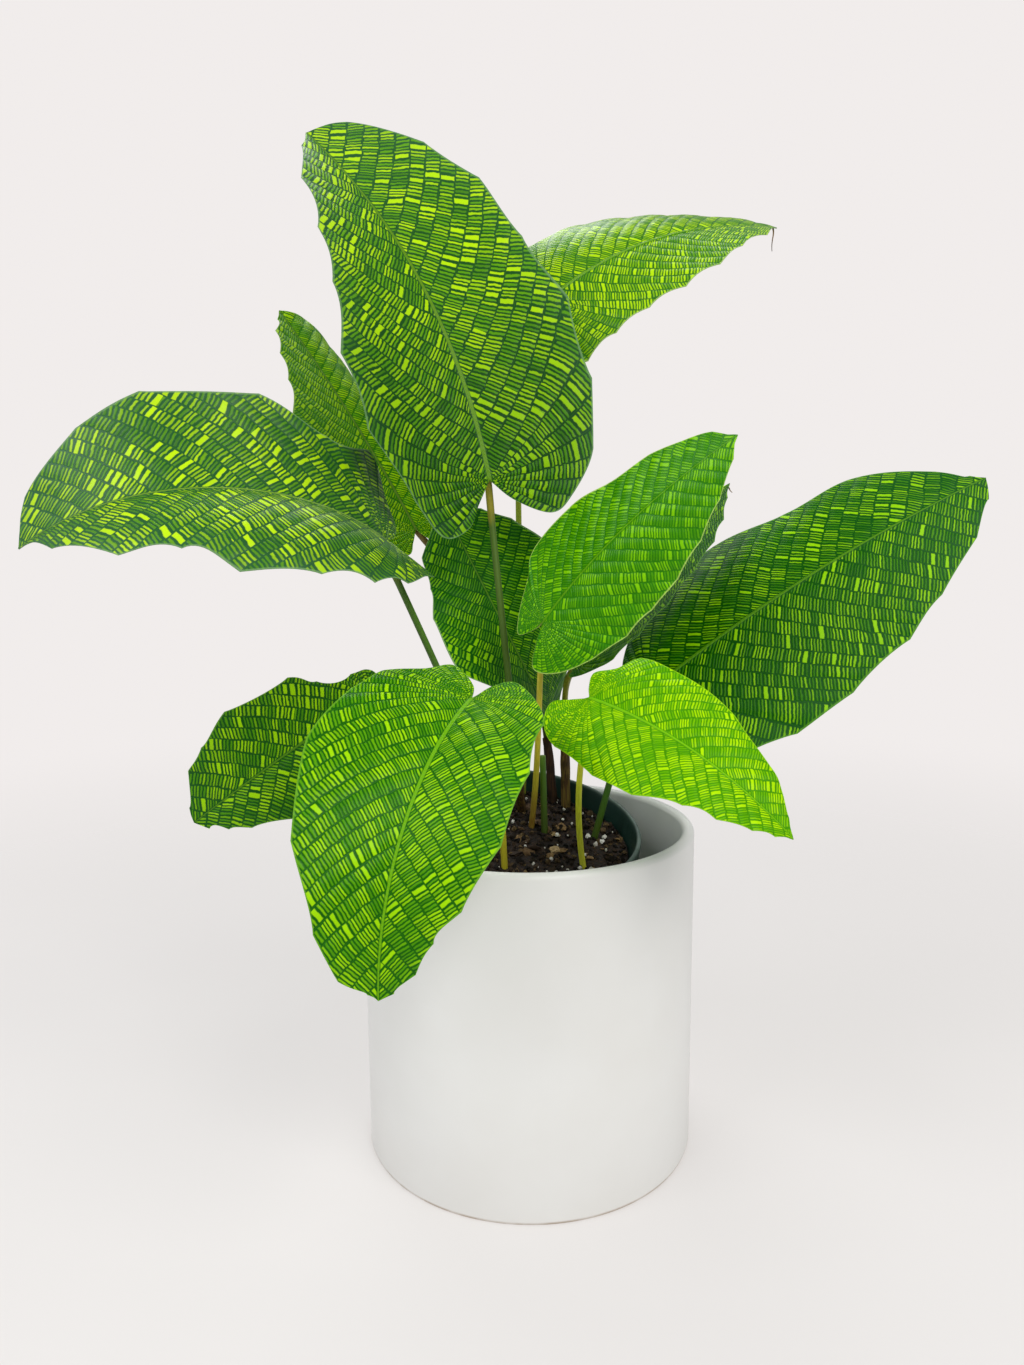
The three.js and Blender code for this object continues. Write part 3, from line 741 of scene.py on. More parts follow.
for name, (radius, foot, main, joint) in STALKS.items():
    blade = BLADES[name]
    line = stalk_line(blade)
    stations, point, _, _, face = blade["midrib"]
    beneath = (point - UNDER_MIDRIB * face).T
    under = [[np.interp(s, stations, row) for row in beneath] for s in (7, 11, 16, 21, INTO_MIDRIB)]
    line = np.vstack([line, under])
    gone = gone_along(line)
    to_blade = gone[-1] - INTO_MIDRIB - gone
    radii = radius * (1.08 - 0.16 * gone / gone[-1])
    swell = np.exp(-(((to_blade - JOINT_LENGTH * 0.45) / (JOINT_LENGTH * 0.42)) ** 4))
    radii = radii + JOINT_SWELL * swell
    radii = np.where(to_blade < 0, np.interp(-to_blade, (0, INTO_MIDRIB), (radius * 0.95, 0.75)), radii)
    stalk = tube("stalk_of_" + name, line, radii)
    slot = "stalk_yellow" if name in ("front", "low_right", "young") else "stalk_green"
    dress(
        stalk,
        stalk_skin("skin_" + name, foot, main, joint, JOINT_LENGTH + INTO_MIDRIB),
        slot,
        "stalk_" + name,
    )


# Stub: what is left of one stalk that was cut off straight, still green and firm in the soil. Its
# end is flat, pale and dried.
STUB_FOOT = (9, 14)
STUB_HEIGHT = 41.0
STUB_LINE = [
    (0, 0, -STEM_DEPTH),
    (0, 0, -2),
    (-0.4, 0, STUB_HEIGHT * 0.4),
    (-0.9, 0, STUB_HEIGHT * 0.9),
    (-1.0, 0, STUB_HEIGHT - 0.5),
    (-1.0, 0, STUB_HEIGHT),
]
STUB_RADII = [1.8, 1.8, 1.7, 1.65, 1.62, 1.5]
stub = tube("cut_stub", on_soil(*STUB_FOOT) + np.array(STUB_LINE), STUB_RADII)
stub_skin = stalk_skin("skin_stub", (76, 96, 30), (88, 130, 30), (206, 212, 120), 0.4)
dress(stub, stub_skin, "stalk_green", "stub")


# Sheaths: the dry leaf bases that wrap the foot of the three oldest stalks. Each is brown and
# papery, a tube that follows its stalk, wrinkled lengthwise and torn at the top.
SHEATH_START = 5.6
SHEATH_POINTS = 60
CREASE = 0.5
TEAR = 3.0
# For each: the share of the stalk that it covers, its radius, and its darker and lighter brown.
SHEATHS = {
    "tall": (0.24, 2.5, (74, 50, 30), (120, 96, 44)),
    "centre": (0.78, 2.45, (52, 34, 24), (84, 58, 34)),
    "behind": (0.45, 2.6, (82, 56, 30), (128, 108, 46)),
}


def papery(name, dark, light):
    """Brown paper with darker and lighter streaks that run along the stalk."""
    paper = Nodes(name)
    place = paper.place()
    streaks = paper.add("Mapping", {"Vector": place, "Scale": (1300, 1300, 70)}).outputs[0]
    grain = paper.add("TexNoise", {"Vector": streaks, "Scale": 1.0, "Detail": 4.0}).outputs[0]
    patch = paper.noise(place, 120.0, 3.0)
    tint = paper.mix(paper.step(grain, 0.35, 0.7), (*paint(*dark), 1), (*paint(*light), 1))
    tint = paper.mix(paper.step(patch, 0.5, 0.75, 0.0, 0.7), tint, (*paint(*[c * 0.5 for c in dark]), 1))
    return paper.finish(
        Base_Color=tint,
        Roughness=paper.step(grain, 0.3, 0.7, 0.6, 0.85),
        Specular_IOR_Level=0.3,
        Normal=paper.bump(grain, 0.6, 0.0006),
    )


for name, (reach, radius, dark, light) in SHEATHS.items():
    line = stalk_line(BLADES[name])
    gone = gone_along(line)
    wanted = np.linspace(SHEATH_START, reach * gone[-1], SHEATH_POINTS)
    wrap = np.stack([np.interp(wanted, gone, line[:, k]) for k in range(3)], -1)
    share = np.linspace(0, 1, SHEATH_POINTS)
    sheath = tube("dry_sheath_of_" + name, wrap, radius * (1.1 - 0.2 * share), 18)
    stored = np.zeros(len(sheath.data.vertices) * 3)
    sheath.data.attributes["along"].data.foreach_get("vector", stored)
    for vertex, at in zip(sheath.data.vertices, stored[2::3]):
        middle = Vector([np.interp(at, share, wrap[:, k]) for k in range(3)]) * MM
        away = (vertex.co - middle).normalized()
        crease = noise.noise(Vector((away.x * 2.2, away.y * 2.2, at * 5 + radius)))
        vertex.co += away * crease * CREASE * MM
        if at > 0.93:
            vertex.co.z += TEAR * noise.noise(away * 2.5 + Vector((radius * 9, 0, 0))) * MM
    dress(sheath, papery("paper_" + name, dark, light), "dry_sheath", "sheath_" + name)


# Bark chips, peat crumbs and perlite: loose bits pressed into the top of the soil between the
# stems. Each kind is modelled a few times as a hewn or rounded lump and then copied, turned and
# sized for every place it lies in.
BARK_COUNT = 120
CRUMB_COUNT = 1300
PERLITE_COUNT = 120
FEET = [on_soil(*blade["foot"]) for blade in BLADES.values()] + [on_soil(*STUB_FOOT)]
chance = random.Random(11)


def lump(name, stretch, roughness, seed, flat=0.0):
    """The mesh of a small lump: a ball pulled to size, hewn by noise and half snapped flat."""
    bpy.ops.object.select_all(action="DESELECT")
    bpy.ops.mesh.primitive_ico_sphere_add(subdivisions=2, radius=1, location=(0, 0, 0))
    ball = bpy.context.object
    for vertex in ball.data.vertices:
        shift = Vector((seed * 3.7, seed * 1.3, 0))
        vertex.co *= 1 + roughness * noise.noise(vertex.co * 1.3 + shift)
        vertex.co += Vector([round(c / flat) * flat - c if flat else 0 for c in vertex.co]) * 0.5
        vertex.co = Vector([c * s for c, s in zip(vertex.co, stretch)])
    mesh = ball.data
    mesh.name = name
    bpy.data.objects.remove(ball)
    return mesh


def scatter(name, shapes, spots):
    """One piece gathered from copies of the shapes, with a number of its own kept on each copy."""
    gathered = bmesh.new()
    numbers = []
    for index, place_in_pot in spots:
        copy = shapes[index].copy()
        copy.transform(place_in_pot)
        numbers += [chance.random()] * len(copy.vertices)
        gathered.from_mesh(copy)
        bpy.data.meshes.remove(copy)
    mesh = bpy.data.meshes.new(name)
    gathered.to_mesh(mesh)
    gathered.free()
    stored = mesh.attributes.new("copy", "FLOAT", "POINT")
    stored.data.foreach_set("value", np.array(numbers, np.float32))
    piece = bpy.data.objects.new(name, mesh)
    bpy.context.collection.objects.link(piece)
    bpy.context.view_layer.objects.active = piece
    bpy.ops.object.select_all(action="DESELECT")
    piece.select_set(True)
    bpy.ops.object.shade_smooth_by_angle(angle=math.radians(40))
    return piece


def lying_spot(size, clear, lift, tilt=0.35):
    """A place on the soil for a bit of one size in mm, clear of the stems, turned by chance."""
    while True:
        radius = (SOIL_RADIUS - 1.2 - size) * math.sqrt(chance.random())
        angle = chance.uniform(0, 2 * math.pi)
        flat = Vector((radius * math.cos(angle), radius * math.sin(angle), lift))
        centre = SOIL_TOP + LINER_LEAN.to_3x3() @ flat
        if all(math.hypot(centre.x - f[0], centre.y - f[1]) > clear + size for f in FEET):
            break
    turn = Matrix.Rotation(chance.uniform(0, 2 * math.pi), 4, "Z")
    tip = Matrix.Rotation(chance.gauss(0, tilt), 4, "X")
    tip = tip @ Matrix.Rotation(chance.gauss(0, tilt), 4, "Y")
    return Matrix.Translation(centre * MM) @ LINER_LEAN @ tip @ turn


def sized(spot, x, y, z):
    """The place of a bit, with its size in mm."""
    return spot @ Matrix.Diagonal((x * MM, y * MM, z * MM, 1))


bark_shapes = [lump("bark_%d" % i, (1, 0.55, 0.3), 0.7, i + 1, 0.35) for i in range(5)]
bark_spots = []
for _ in range(BARK_COUNT):
    size = chance.choice([1.3, 1.7, 2.1, 2.6, 3.2, 4.0])
    spot = lying_spot(size * 0.8, 1.6, 0.6 + chance.uniform(-0.5, 0.8))
    shape = chance.randrange(len(bark_shapes))
    bark_spots.append((shape, sized(spot, size, size * chance.uniform(0.8, 1.3), size)))
bark = scatter("bark_chips", bark_shapes, bark_spots)

chipped = Nodes("bark")
place = chipped.place()
number = chipped.add("Attribute", attribute_name="copy").outputs["Fac"]
fibre = chipped.noise(place, 900.0, 4.0, 0.7)
tint = chipped.ramp(
    number,
    [
        (0.0, paint(34, 24, 16)),
        (0.4, paint(58, 42, 27)),
        (0.7, paint(96, 72, 44)),
        (0.9, paint(150, 120, 78)),
        (1.0, paint(196, 168, 122)),
    ],
)
tint = chipped.mix(chipped.step(fibre, 0.42, 0.72, 0.0, 0.75), tint, (*paint(52, 30, 20), 1))
dress(
    bark,
    chipped.finish(
        Base_Color=tint,
        Roughness=chipped.step(fibre, 0.3, 0.7, 0.6, 0.9),
        Specular_IOR_Level=0.3,
        Normal=chipped.bump(fibre, 0.6, 0.0008),
    ),
    "soil",
    "soil",
)

crumb_shapes = [lump("crumb_%d" % i, (1, 0.8, 0.7), 0.9, i + 21) for i in range(4)]
crumb_spots = []
for _ in range(CRUMB_COUNT):
    size = chance.uniform(0.5, 1.7)
    spot = lying_spot(size * 0.5, 1.5, 0.5 + chance.uniform(-0.4, 0.5), 0.8)
    crumb_spots.append((chance.randrange(len(crumb_shapes)), sized(spot, size, size, size)))
crumbs = scatter("peat_crumbs", crumb_shapes, crumb_spots)

crumbly = Nodes("peat_crumb")
number = crumbly.add("Attribute", attribute_name="copy").outputs["Fac"]
grit = crumbly.noise(crumbly.place(), 1500.0, 3.0)
tint = crumbly.ramp(
    number,
    [
        (0.0, paint(16, 12, 9)),
        (0.5, paint(36, 27, 19)),
        (0.8, paint(66, 50, 33)),
        (1.0, paint(124, 102, 66)),
    ],
)
tint = crumbly.mix(crumbly.step(grit, 0.4, 0.7, 0.0, 0.6), tint, (*paint(18, 12, 9), 1))
dress(
    crumbs,
    crumbly.finish(
        Base_Color=tint,
        Roughness=crumbly.step(grit, 0.3, 0.7, 0.75, 0.95),
        Specular_IOR_Level=0.25,
        Normal=crumbly.bump(grit, 0.5, 0.0005),
    ),
    "soil",
    "soil",
)

perlite_shapes = [lump("perlite_%d" % i, (1, 0.85, 0.75), 0.5, i + 41, 0.3) for i in range(4)]
perlite_spots = []
for _ in range(PERLITE_COUNT):
    size = chance.choice([0.5, 0.6, 0.8, 0.9, 1.2, 1.6])
    spot = lying_spot(size, 1.8, 0.9 + size * 0.3, 1.0)
    perlite_spots.append((chance.randrange(len(perlite_shapes)), sized(spot, size, size, size)))
perlite = scatter("perlite_grains", perlite_shapes, perlite_spots)

puffed = Nodes("perlite")
place = puffed.place()
pores = puffed.add("TexVoronoi", {"Vector": place, "Scale": 2600.0}, feature="F1").outputs["Distance"]
number = puffed.add("Attribute", attribute_name="copy").outputs["Fac"]
tint = puffed.mix(number, (*paint(214, 208, 196), 1), (*paint(246, 244, 238), 1))
tint = puffed.mix(puffed.step(pores, 0.25, 0.6, 0.35, 0.0), tint, (*paint(150, 138, 120), 1))
dress(
    perlite,
    puffed.finish(
        Base_Color=tint,
        Roughness=puffed.step(pores, 0.1, 0.6, 0.95, 0.8),
        Specular_IOR_Level=0.3,
        Normal=puffed.bump(pores, 0.5, 0.0004),
    ),
    "soil",
    "soil",
)


# Blades: each is one thin leathery leaf, cupped and ruffled, with a midrib that stands out as a
# round rib underneath. Side veins run from the midrib to the scalloped margin; between them the
# leaf is quilted and laid out in narrow bricks of bright yellow-green and dark green.

# The mesh of a blade is a sheet with an upper and a lower skin, in rows that run with its veins.
ROWS_PER_POINT = 12
COLUMNS = 20
ROW_LEAN = 0.45
BLADE_SKIN = 0.42
RUFFLE = 1.0
QUILT = 0.16
GROOVE = 0.45
MIDRIB_ABOVE = 0.5
MIDRIB_BELOW = 1.25
LOBE_FAN = 42.0

# How each leaf looks. Its colours are read as 0 to 255 from a screen: "bright" and "mid" bricks,
# "dark" between them, "rib" for the midrib and "edge" for the pale line of the margin, in part a
# painted highlight along the rim. In mm: the "pitch" of the side veins and of the bricks, the "gap"
# between two bricks, half the width of the midrib, and how deep the margin is scalloped. "lean" is,
# for the left and the right half, how far the side veins lean forward at the midrib and how much
# more at the margin. The rest are shares: of "wide" bright bricks, how "lit" the others are, how
# "deep" the tone of the base is, how "rough" the skin is, its "shine", and how strong a painted
# bluish reflection is towards its tip and margin.
EVEN_LEAN = ((0.84, 0.3), (0.84, 0.3))
LOOKS = {
    "tall": {
        "bright": (190, 236, 0), "mid": (98, 166, 4), "dark": (24, 82, 24), "rib": (96, 142, 14),
        "pitch": 8.4, "brick": 1.9, "gap": 0.9, "wide": 0.2, "lit": 0.02, "rib_width": 1.15,
        "lean": ((0.62, 0.3), (0.9, 0.3)), "rough": 0.36, "shine": 0.14, "painted_sheen": 0.3,
        "edge": (112, 154, 96), "scallop": 3.2, "deep": 0.75,
    },
    "back_right": {
        "bright": (186, 232, 0), "mid": (100, 164, 4), "dark": (44, 110, 20), "rib": (110, 165, 30),
        "pitch": 6.2, "brick": 1.5, "gap": 0.65, "wide": 0.14, "lit": 0.12, "rib_width": 0.8,
        "lean": EVEN_LEAN, "rough": 0.28, "shine": 0.15, "painted_sheen": 0.1,
        "edge": (170, 200, 110), "scallop": 2.6, "deep": 0.0,
    },
    "back_left": {
        "bright": (184, 236, 0), "mid": (118, 188, 4), "dark": (48, 128, 12), "rib": (112, 152, 48),
        "pitch": 6.2, "brick": 1.5, "gap": 0.65, "wide": 0.18, "lit": 0.12, "rib_width": 0.8,
        "lean": EVEN_LEAN, "rough": 0.4, "shine": 0.08, "painted_sheen": 0.0,
        "edge": (160, 200, 90), "scallop": 2.4, "deep": 0.0,
    },
    "left": {
        "bright": (200, 242, 0), "mid": (90, 152, 10), "dark": (30, 90, 38), "rib": (120, 160, 40),
        "pitch": 6.9, "brick": 1.8, "gap": 0.9, "wide": 0.18, "lit": 0.0, "rib_width": 0.7,
        "lean": EVEN_LEAN, "rough": 0.34, "shine": 0.18, "painted_sheen": 0.4,
        "edge": (120, 160, 100), "scallop": 3.4, "deep": 0.5,
    },
    "low_left": {
        "bright": (158, 214, 0), "mid": (76, 144, 0), "dark": (16, 78, 14), "rib": (80, 130, 20),
        "pitch": 6.2, "brick": 1.55, "gap": 0.75, "wide": 0.12, "lit": 0.05, "rib_width": 0.7,
        "lean": EVEN_LEAN, "rough": 0.4, "shine": 0.1, "painted_sheen": 0.1,
        "edge": (110, 160, 60), "scallop": 2.4, "deep": 0.0,
    },
    "front": {
        "bright": (164, 224, 0), "mid": (86, 160, 0), "dark": (20, 94, 0), "rib": (112, 176, 14),
        "pitch": 6.0, "brick": 1.35, "gap": 0.62, "wide": 0.1, "lit": 0.08, "rib_width": 1.0,
        "lean": EVEN_LEAN, "rough": 0.34, "shine": 0.09, "painted_sheen": 0.05,
        "edge": (110, 170, 40), "scallop": 2.0, "deep": 0.0,
    },
    "low_right": {
        "bright": (182, 236, 0), "mid": (108, 184, 0), "dark": (66, 144, 0), "rib": (124, 196, 14),
        "pitch": 4.9, "brick": 1.15, "gap": 0.46, "wide": 0.09, "lit": 0.1, "rib_width": 0.7,
        "lean": EVEN_LEAN, "rough": 0.32, "shine": 0.06, "painted_sheen": 0.0,
        "edge": (150, 206, 20), "scallop": 1.1, "deep": 0.0,
    },
    "young": {
        "bright": (132, 206, 0), "mid": (76, 154, 0), "dark": (42, 122, 0), "rib": (96, 160, 10),
        "pitch": 5.3, "brick": 1.25, "gap": 0.5, "wide": 0.09, "lit": 0.05, "rib_width": 0.6,
        "lean": EVEN_LEAN, "rough": 0.28, "shine": 0.14, "painted_sheen": 0.05,
        "edge": (190, 220, 110), "scallop": 1.2, "deep": 0.0,
    },
    "right": {
        "bright": (150, 214, 0), "mid": (66, 136, 0), "dark": (4, 80, 0), "rib": (84, 142, 12),
        "pitch": 7.3, "brick": 1.65, "gap": 0.92, "wide": 0.1, "lit": 0.02, "rib_width": 0.9,
        "lean": EVEN_LEAN, "rough": 0.38, "shine": 0.08, "painted_sheen": 0.15,
        "edge": (90, 150, 40), "scallop": 2.4, "deep": 0.15,
    },
    "centre": {
        "bright": (146, 212, 0), "mid": (76, 148, 4), "dark": (8, 88, 0), "rib": (90, 140, 30),
        "pitch": 6.4, "brick": 1.5, "gap": 0.75, "wide": 0.1, "lit": 0.0, "rib_width": 0.8,
        "lean": EVEN_LEAN, "rough": 0.4, "shine": 0.09, "painted_sheen": 0.1,
        "edge": (150, 190, 120), "scallop": 1.6, "deep": 0.0,
    },
    "behind": {
        "bright": (140, 200, 8), "mid": (66, 132, 10), "dark": (12, 78, 8), "rib": (90, 140, 30),
        "pitch": 6.2, "brick": 1.5, "gap": 0.75, "wide": 0.14, "lit": 0.0, "rib_width": 0.8,
        "lean": EVEN_LEAN, "rough": 0.4, "shine": 0.08, "painted_sheen": 0.1,
        "edge": (90, 150, 40), "scallop": 1.6, "deep": 0.0,
    },
}


def margin_of(blade, half, scallop):
    """One half's margin from notch to tip, where its rows start, and how far through a tooth it is."""
    corners = np.array([(0, 0), *half["lobe"], *half["teeth"], (blade["length"], 0)], float)
    count = (len(corners) - 1) * ROWS_PER_POINT
    margin, shares, tooth = [], [], []
    for i in range(count + 1):
        k = min(i // ROWS_PER_POINT, len(corners) - 2)
        t = i / ROWS_PER_POINT - k
        p0, p1 = corners[max(k - 1, 0)], corners[k]
        p2, p3 = corners[k + 1], corners[min(k + 2, len(corners) - 1)]
        v0, v1 = (p2 - p0) / 2, (p3 - p1) / 2
        cubic = (2 * p1 - 2 * p2 + v0 + v1) * t**3
        square = (3 * p2 - 3 * p1 - 2 * v0 - v1) * t**2
        margin.append(cubic + square + v0 * t + p1)
        shares.append(t)
        tooth.append(k > len(half["lobe"]) - 1)
    margin, shares, tooth = np.array(margin), np.array(shares), np.array(tooth)
    starts = margin[:, 0] - ROW_LEAN * margin[:, 1]
    uneven = 0.75 + 0.35 * np.sin(np.arange(count + 1) // ROWS_PER_POINT * 2.4 + blade["length"])
    dip = np.minimum(scallop, 0.3 * margin[:, 1]) * uneven * np.sin(np.pi * shares) ** 0.85 * tooth
    margin[:, 1] -= dip
    return margin, starts, shares * tooth


def on_blade(blade, along, out):
    """Points of a blade's middle surface at mm along the midrib and mm out, the left being minus."""
    stations, point, way, side_way, face = blade["midrib"]
    at = np.clip(along, 0, blade["length"])

    def there(rows):
        return np.stack([np.interp(at, stations, rows[:, k]) for k in range(3)], -1)

    right = out > 0
    width = np.where(right, blade["right"]["width"], blade["left"]["width"])
    fold = np.where(right, blade["right"]["fold"], blade["left"]["fold"])
    curl = np.where(right, blade["right"]["curl"], blade["left"]["curl"])
    angle = np.radians(fold + curl * np.abs(out) / width / 2)
    return (
        there(point)
        + there(way) * np.minimum(along, 0)[..., None]
        + there(side_way) * (out * np.cos(angle))[..., None]
        + there(face) * (np.abs(out) * np.sin(angle))[..., None]
    )


def mosaic_at(along, out, width, look, lean):
    """Numbers the strips between side veins, and measures how far along its strip a point is.

    The strips are curves that lean forward from the midrib. In the lobe they fan out from the base.
    """
    near, more = lean
    steep = near + 0.6 * more
    level = 1 / math.sqrt(1 + steep**2)
    start = along - (near * out + more * out**2 / width)
    ahead = start * level / look["pitch"]
    radius = np.hypot(along, out)
    bound = np.arctan2(1, near + more * 0.74 * radius / width)
    bound = np.arctan2(1, near + more * radius * np.sin(bound) / width)
    behind = -(np.arctan2(out, along) - bound) * LOBE_FAN / look["pitch"]
    fan = (start < 0) & (radius > 1e-6)
    s = np.where(fan, radius * np.cos(bound), along)
    u = np.where(fan, radius * np.sin(bound), out)
    reach = level * steep * (s + width / (2 * more) * np.log((near + 2 * more * u / width) / near))
    return np.where(fan, behind, ahead), reach


def smooth(value, low, high):
    """A smooth step from 0 at low to 1 at high."""
    t = np.clip((value - low) / (high - low), 0, 1)
    return t * t * (3 - 2 * t)


def blade_piece(name, blade, look):
    """The mesh of one blade: two skins over its rows, and a wall round the margin."""
    left, right = (margin_of(blade, blade[key], look["scallop"]) for key in ("left", "right"))
    starts = np.maximum.accumulate(np.maximum(0, (left[1] + right[1]) / 2))
    start = starts[:, None]
    t = (np.arange(COLUMNS + 1) / COLUMNS) ** 1.6
    rows, extra, marks = [], [], []
    for side, (margin, _, tooth), lean in zip((-1, 1), (left, right), look["lean"]):
        x, y = margin[:, :1], margin[:, 1:]
        along = (1 - t) ** 2 * start + 2 * (1 - t) * t * (start + 0.3 * (x - start)) + t**2 * x
        out = 2 * (1 - t) * t * 0.55 * y + t**2 * y
        flat = y[:, 0] < 1e-6
        along[flat] = x[flat]
        out[flat] = 0
        share = np.where(y > 1e-6, out / np.maximum(y, 1e-6), t)
        width = blade["right" if side > 0 else "left"]["width"]
        strip, reach = mosaic_at(along, out, width, look, lean)
        rows.append(np.stack([along, out * side], -1))
        extra.append(np.stack([share, np.broadcast_to(tooth[:, None], share.shape), strip], -1))
        marks.append(np.stack([strip, reach, (out + 1e-4) * side, along / blade["length"], share], -1))
    count = len(starts)
    rows = np.concatenate([half.reshape(-1, 2) for half in rows])
    extra = np.concatenate([half.reshape(-1, 3) for half in extra])
    marks = np.concatenate([half.reshape(-1, 5) for half in marks])
    _, first, number = np.unique(np.round(rows, 3), axis=0, return_index=True, return_inverse=True)
    number = number.reshape(-1).tolist()
    along, out = rows[first].T
    share, tooth, strip = extra[first].T

    # Where the two skins are: the bent middle surface, ruffled, quilted and thickened by the midrib.
    step = 0.5
    middle = on_blade(blade, along, out)
    lengthwise = on_blade(blade, along + step, out) - on_blade(blade, along - step, out)
    across = on_blade(blade, along, out + step) - on_blade(blade, along, out - step)
    normal = np.cross(across, lengthwise)
    normal /= np.linalg.norm(normal, axis=1)[:, None]

    distance = np.abs(out)
    to_tip = along / blade["length"]
    lift = RUFFLE * np.sin(np.pi * tooth) * share**2.2 * np.minimum(1, distance / 14)
    lift += QUILT * np.sin(np.pi * strip) ** 2 * smooth(distance, 1.5, 7) * (1 - smooth(share, 0.9, 1))
    lift -= GROOVE * np.exp(-((distance / 3.2) ** 2)) * (1 - smooth(to_tip, 0.8, 1))
    upper = lift + MIDRIB_ABOVE * np.exp(-((distance / 0.75) ** 2)) * (1 - smooth(to_tip, 0.5, 1))
    thick = BLADE_SKIN * (1 - 0.45 * smooth(share, 0.8, 1))
    rib = MIDRIB_BELOW * (1 - 0.85 * to_tip.clip(0)) * np.exp(-((distance / 1.5) ** 2))
    top = middle + normal * (upper + thick / 2)[:, None]
    bottom = middle + normal * (lift - thick / 2 - rib)[:, None]

    # The faces: each keeps which point of the rows its corners came from, and on which skin.
    total = len(first)
    faces, corners, under_skin = [], [], []

    def keep(ring, below):
        """One face from points of the rows, less those that fall together at a tip or notch."""
        vertices = [number[c] + total * under for c, under in zip(ring, below)]
        kept = [k for k in range(len(ring)) if vertices[k] not in vertices[:k]]
        if len(kept) > 2:
            faces.append([vertices[k] for k in kept])
            corners.extend([ring[k] for k in kept])
            under_skin.extend([below[k] for k in kept])

    for side, first_row in ((-1, 0), (1, count * (COLUMNS + 1))):
        for i in range(count - 1):
            near = first_row + i * (COLUMNS + 1)
            far = near + COLUMNS + 1
            for j in range(COLUMNS):
                ring = [near + j, near + j + 1, far + j + 1, far + j]
                if side < 0:
                    ring.reverse()
                keep(ring, (0, 0, 0, 0))
                keep(ring[::-1], (1, 1, 1, 1))
            a, b = (near, far) if side > 0 else (far, near)
            a, b = a + COLUMNS, b + COLUMNS
            keep([a, a, b, b], (0, 1, 1, 0))
    mesh = bpy.data.meshes.new(name)
    mesh.from_pydata((np.vstack([top, bottom]) * MM).tolist(), [], faces)
    at_corner = marks[corners]
    upper_side = 1.0 - np.array(under_skin)[:, None]
    spot = np.hstack([at_corner[:, 3:], upper_side])
    for key, values in (("mosaic", at_corner[:, :3]), ("spot", spot)):
        stored = mesh.attributes.new(key, "FLOAT_VECTOR", "CORNER")
        stored.data.foreach_set("vector", values.astype(np.float32).ravel())
    mesh.validate()
    piece = bpy.data.objects.new(name, mesh)
    bpy.context.collection.objects.link(piece)
    bpy.ops.object.select_all(action="DESELECT")
    piece.select_set(True)
    bpy.context.view_layer.objects.active = piece
    bpy.ops.object.shade_smooth_by_angle(angle=math.radians(65))
    return piece


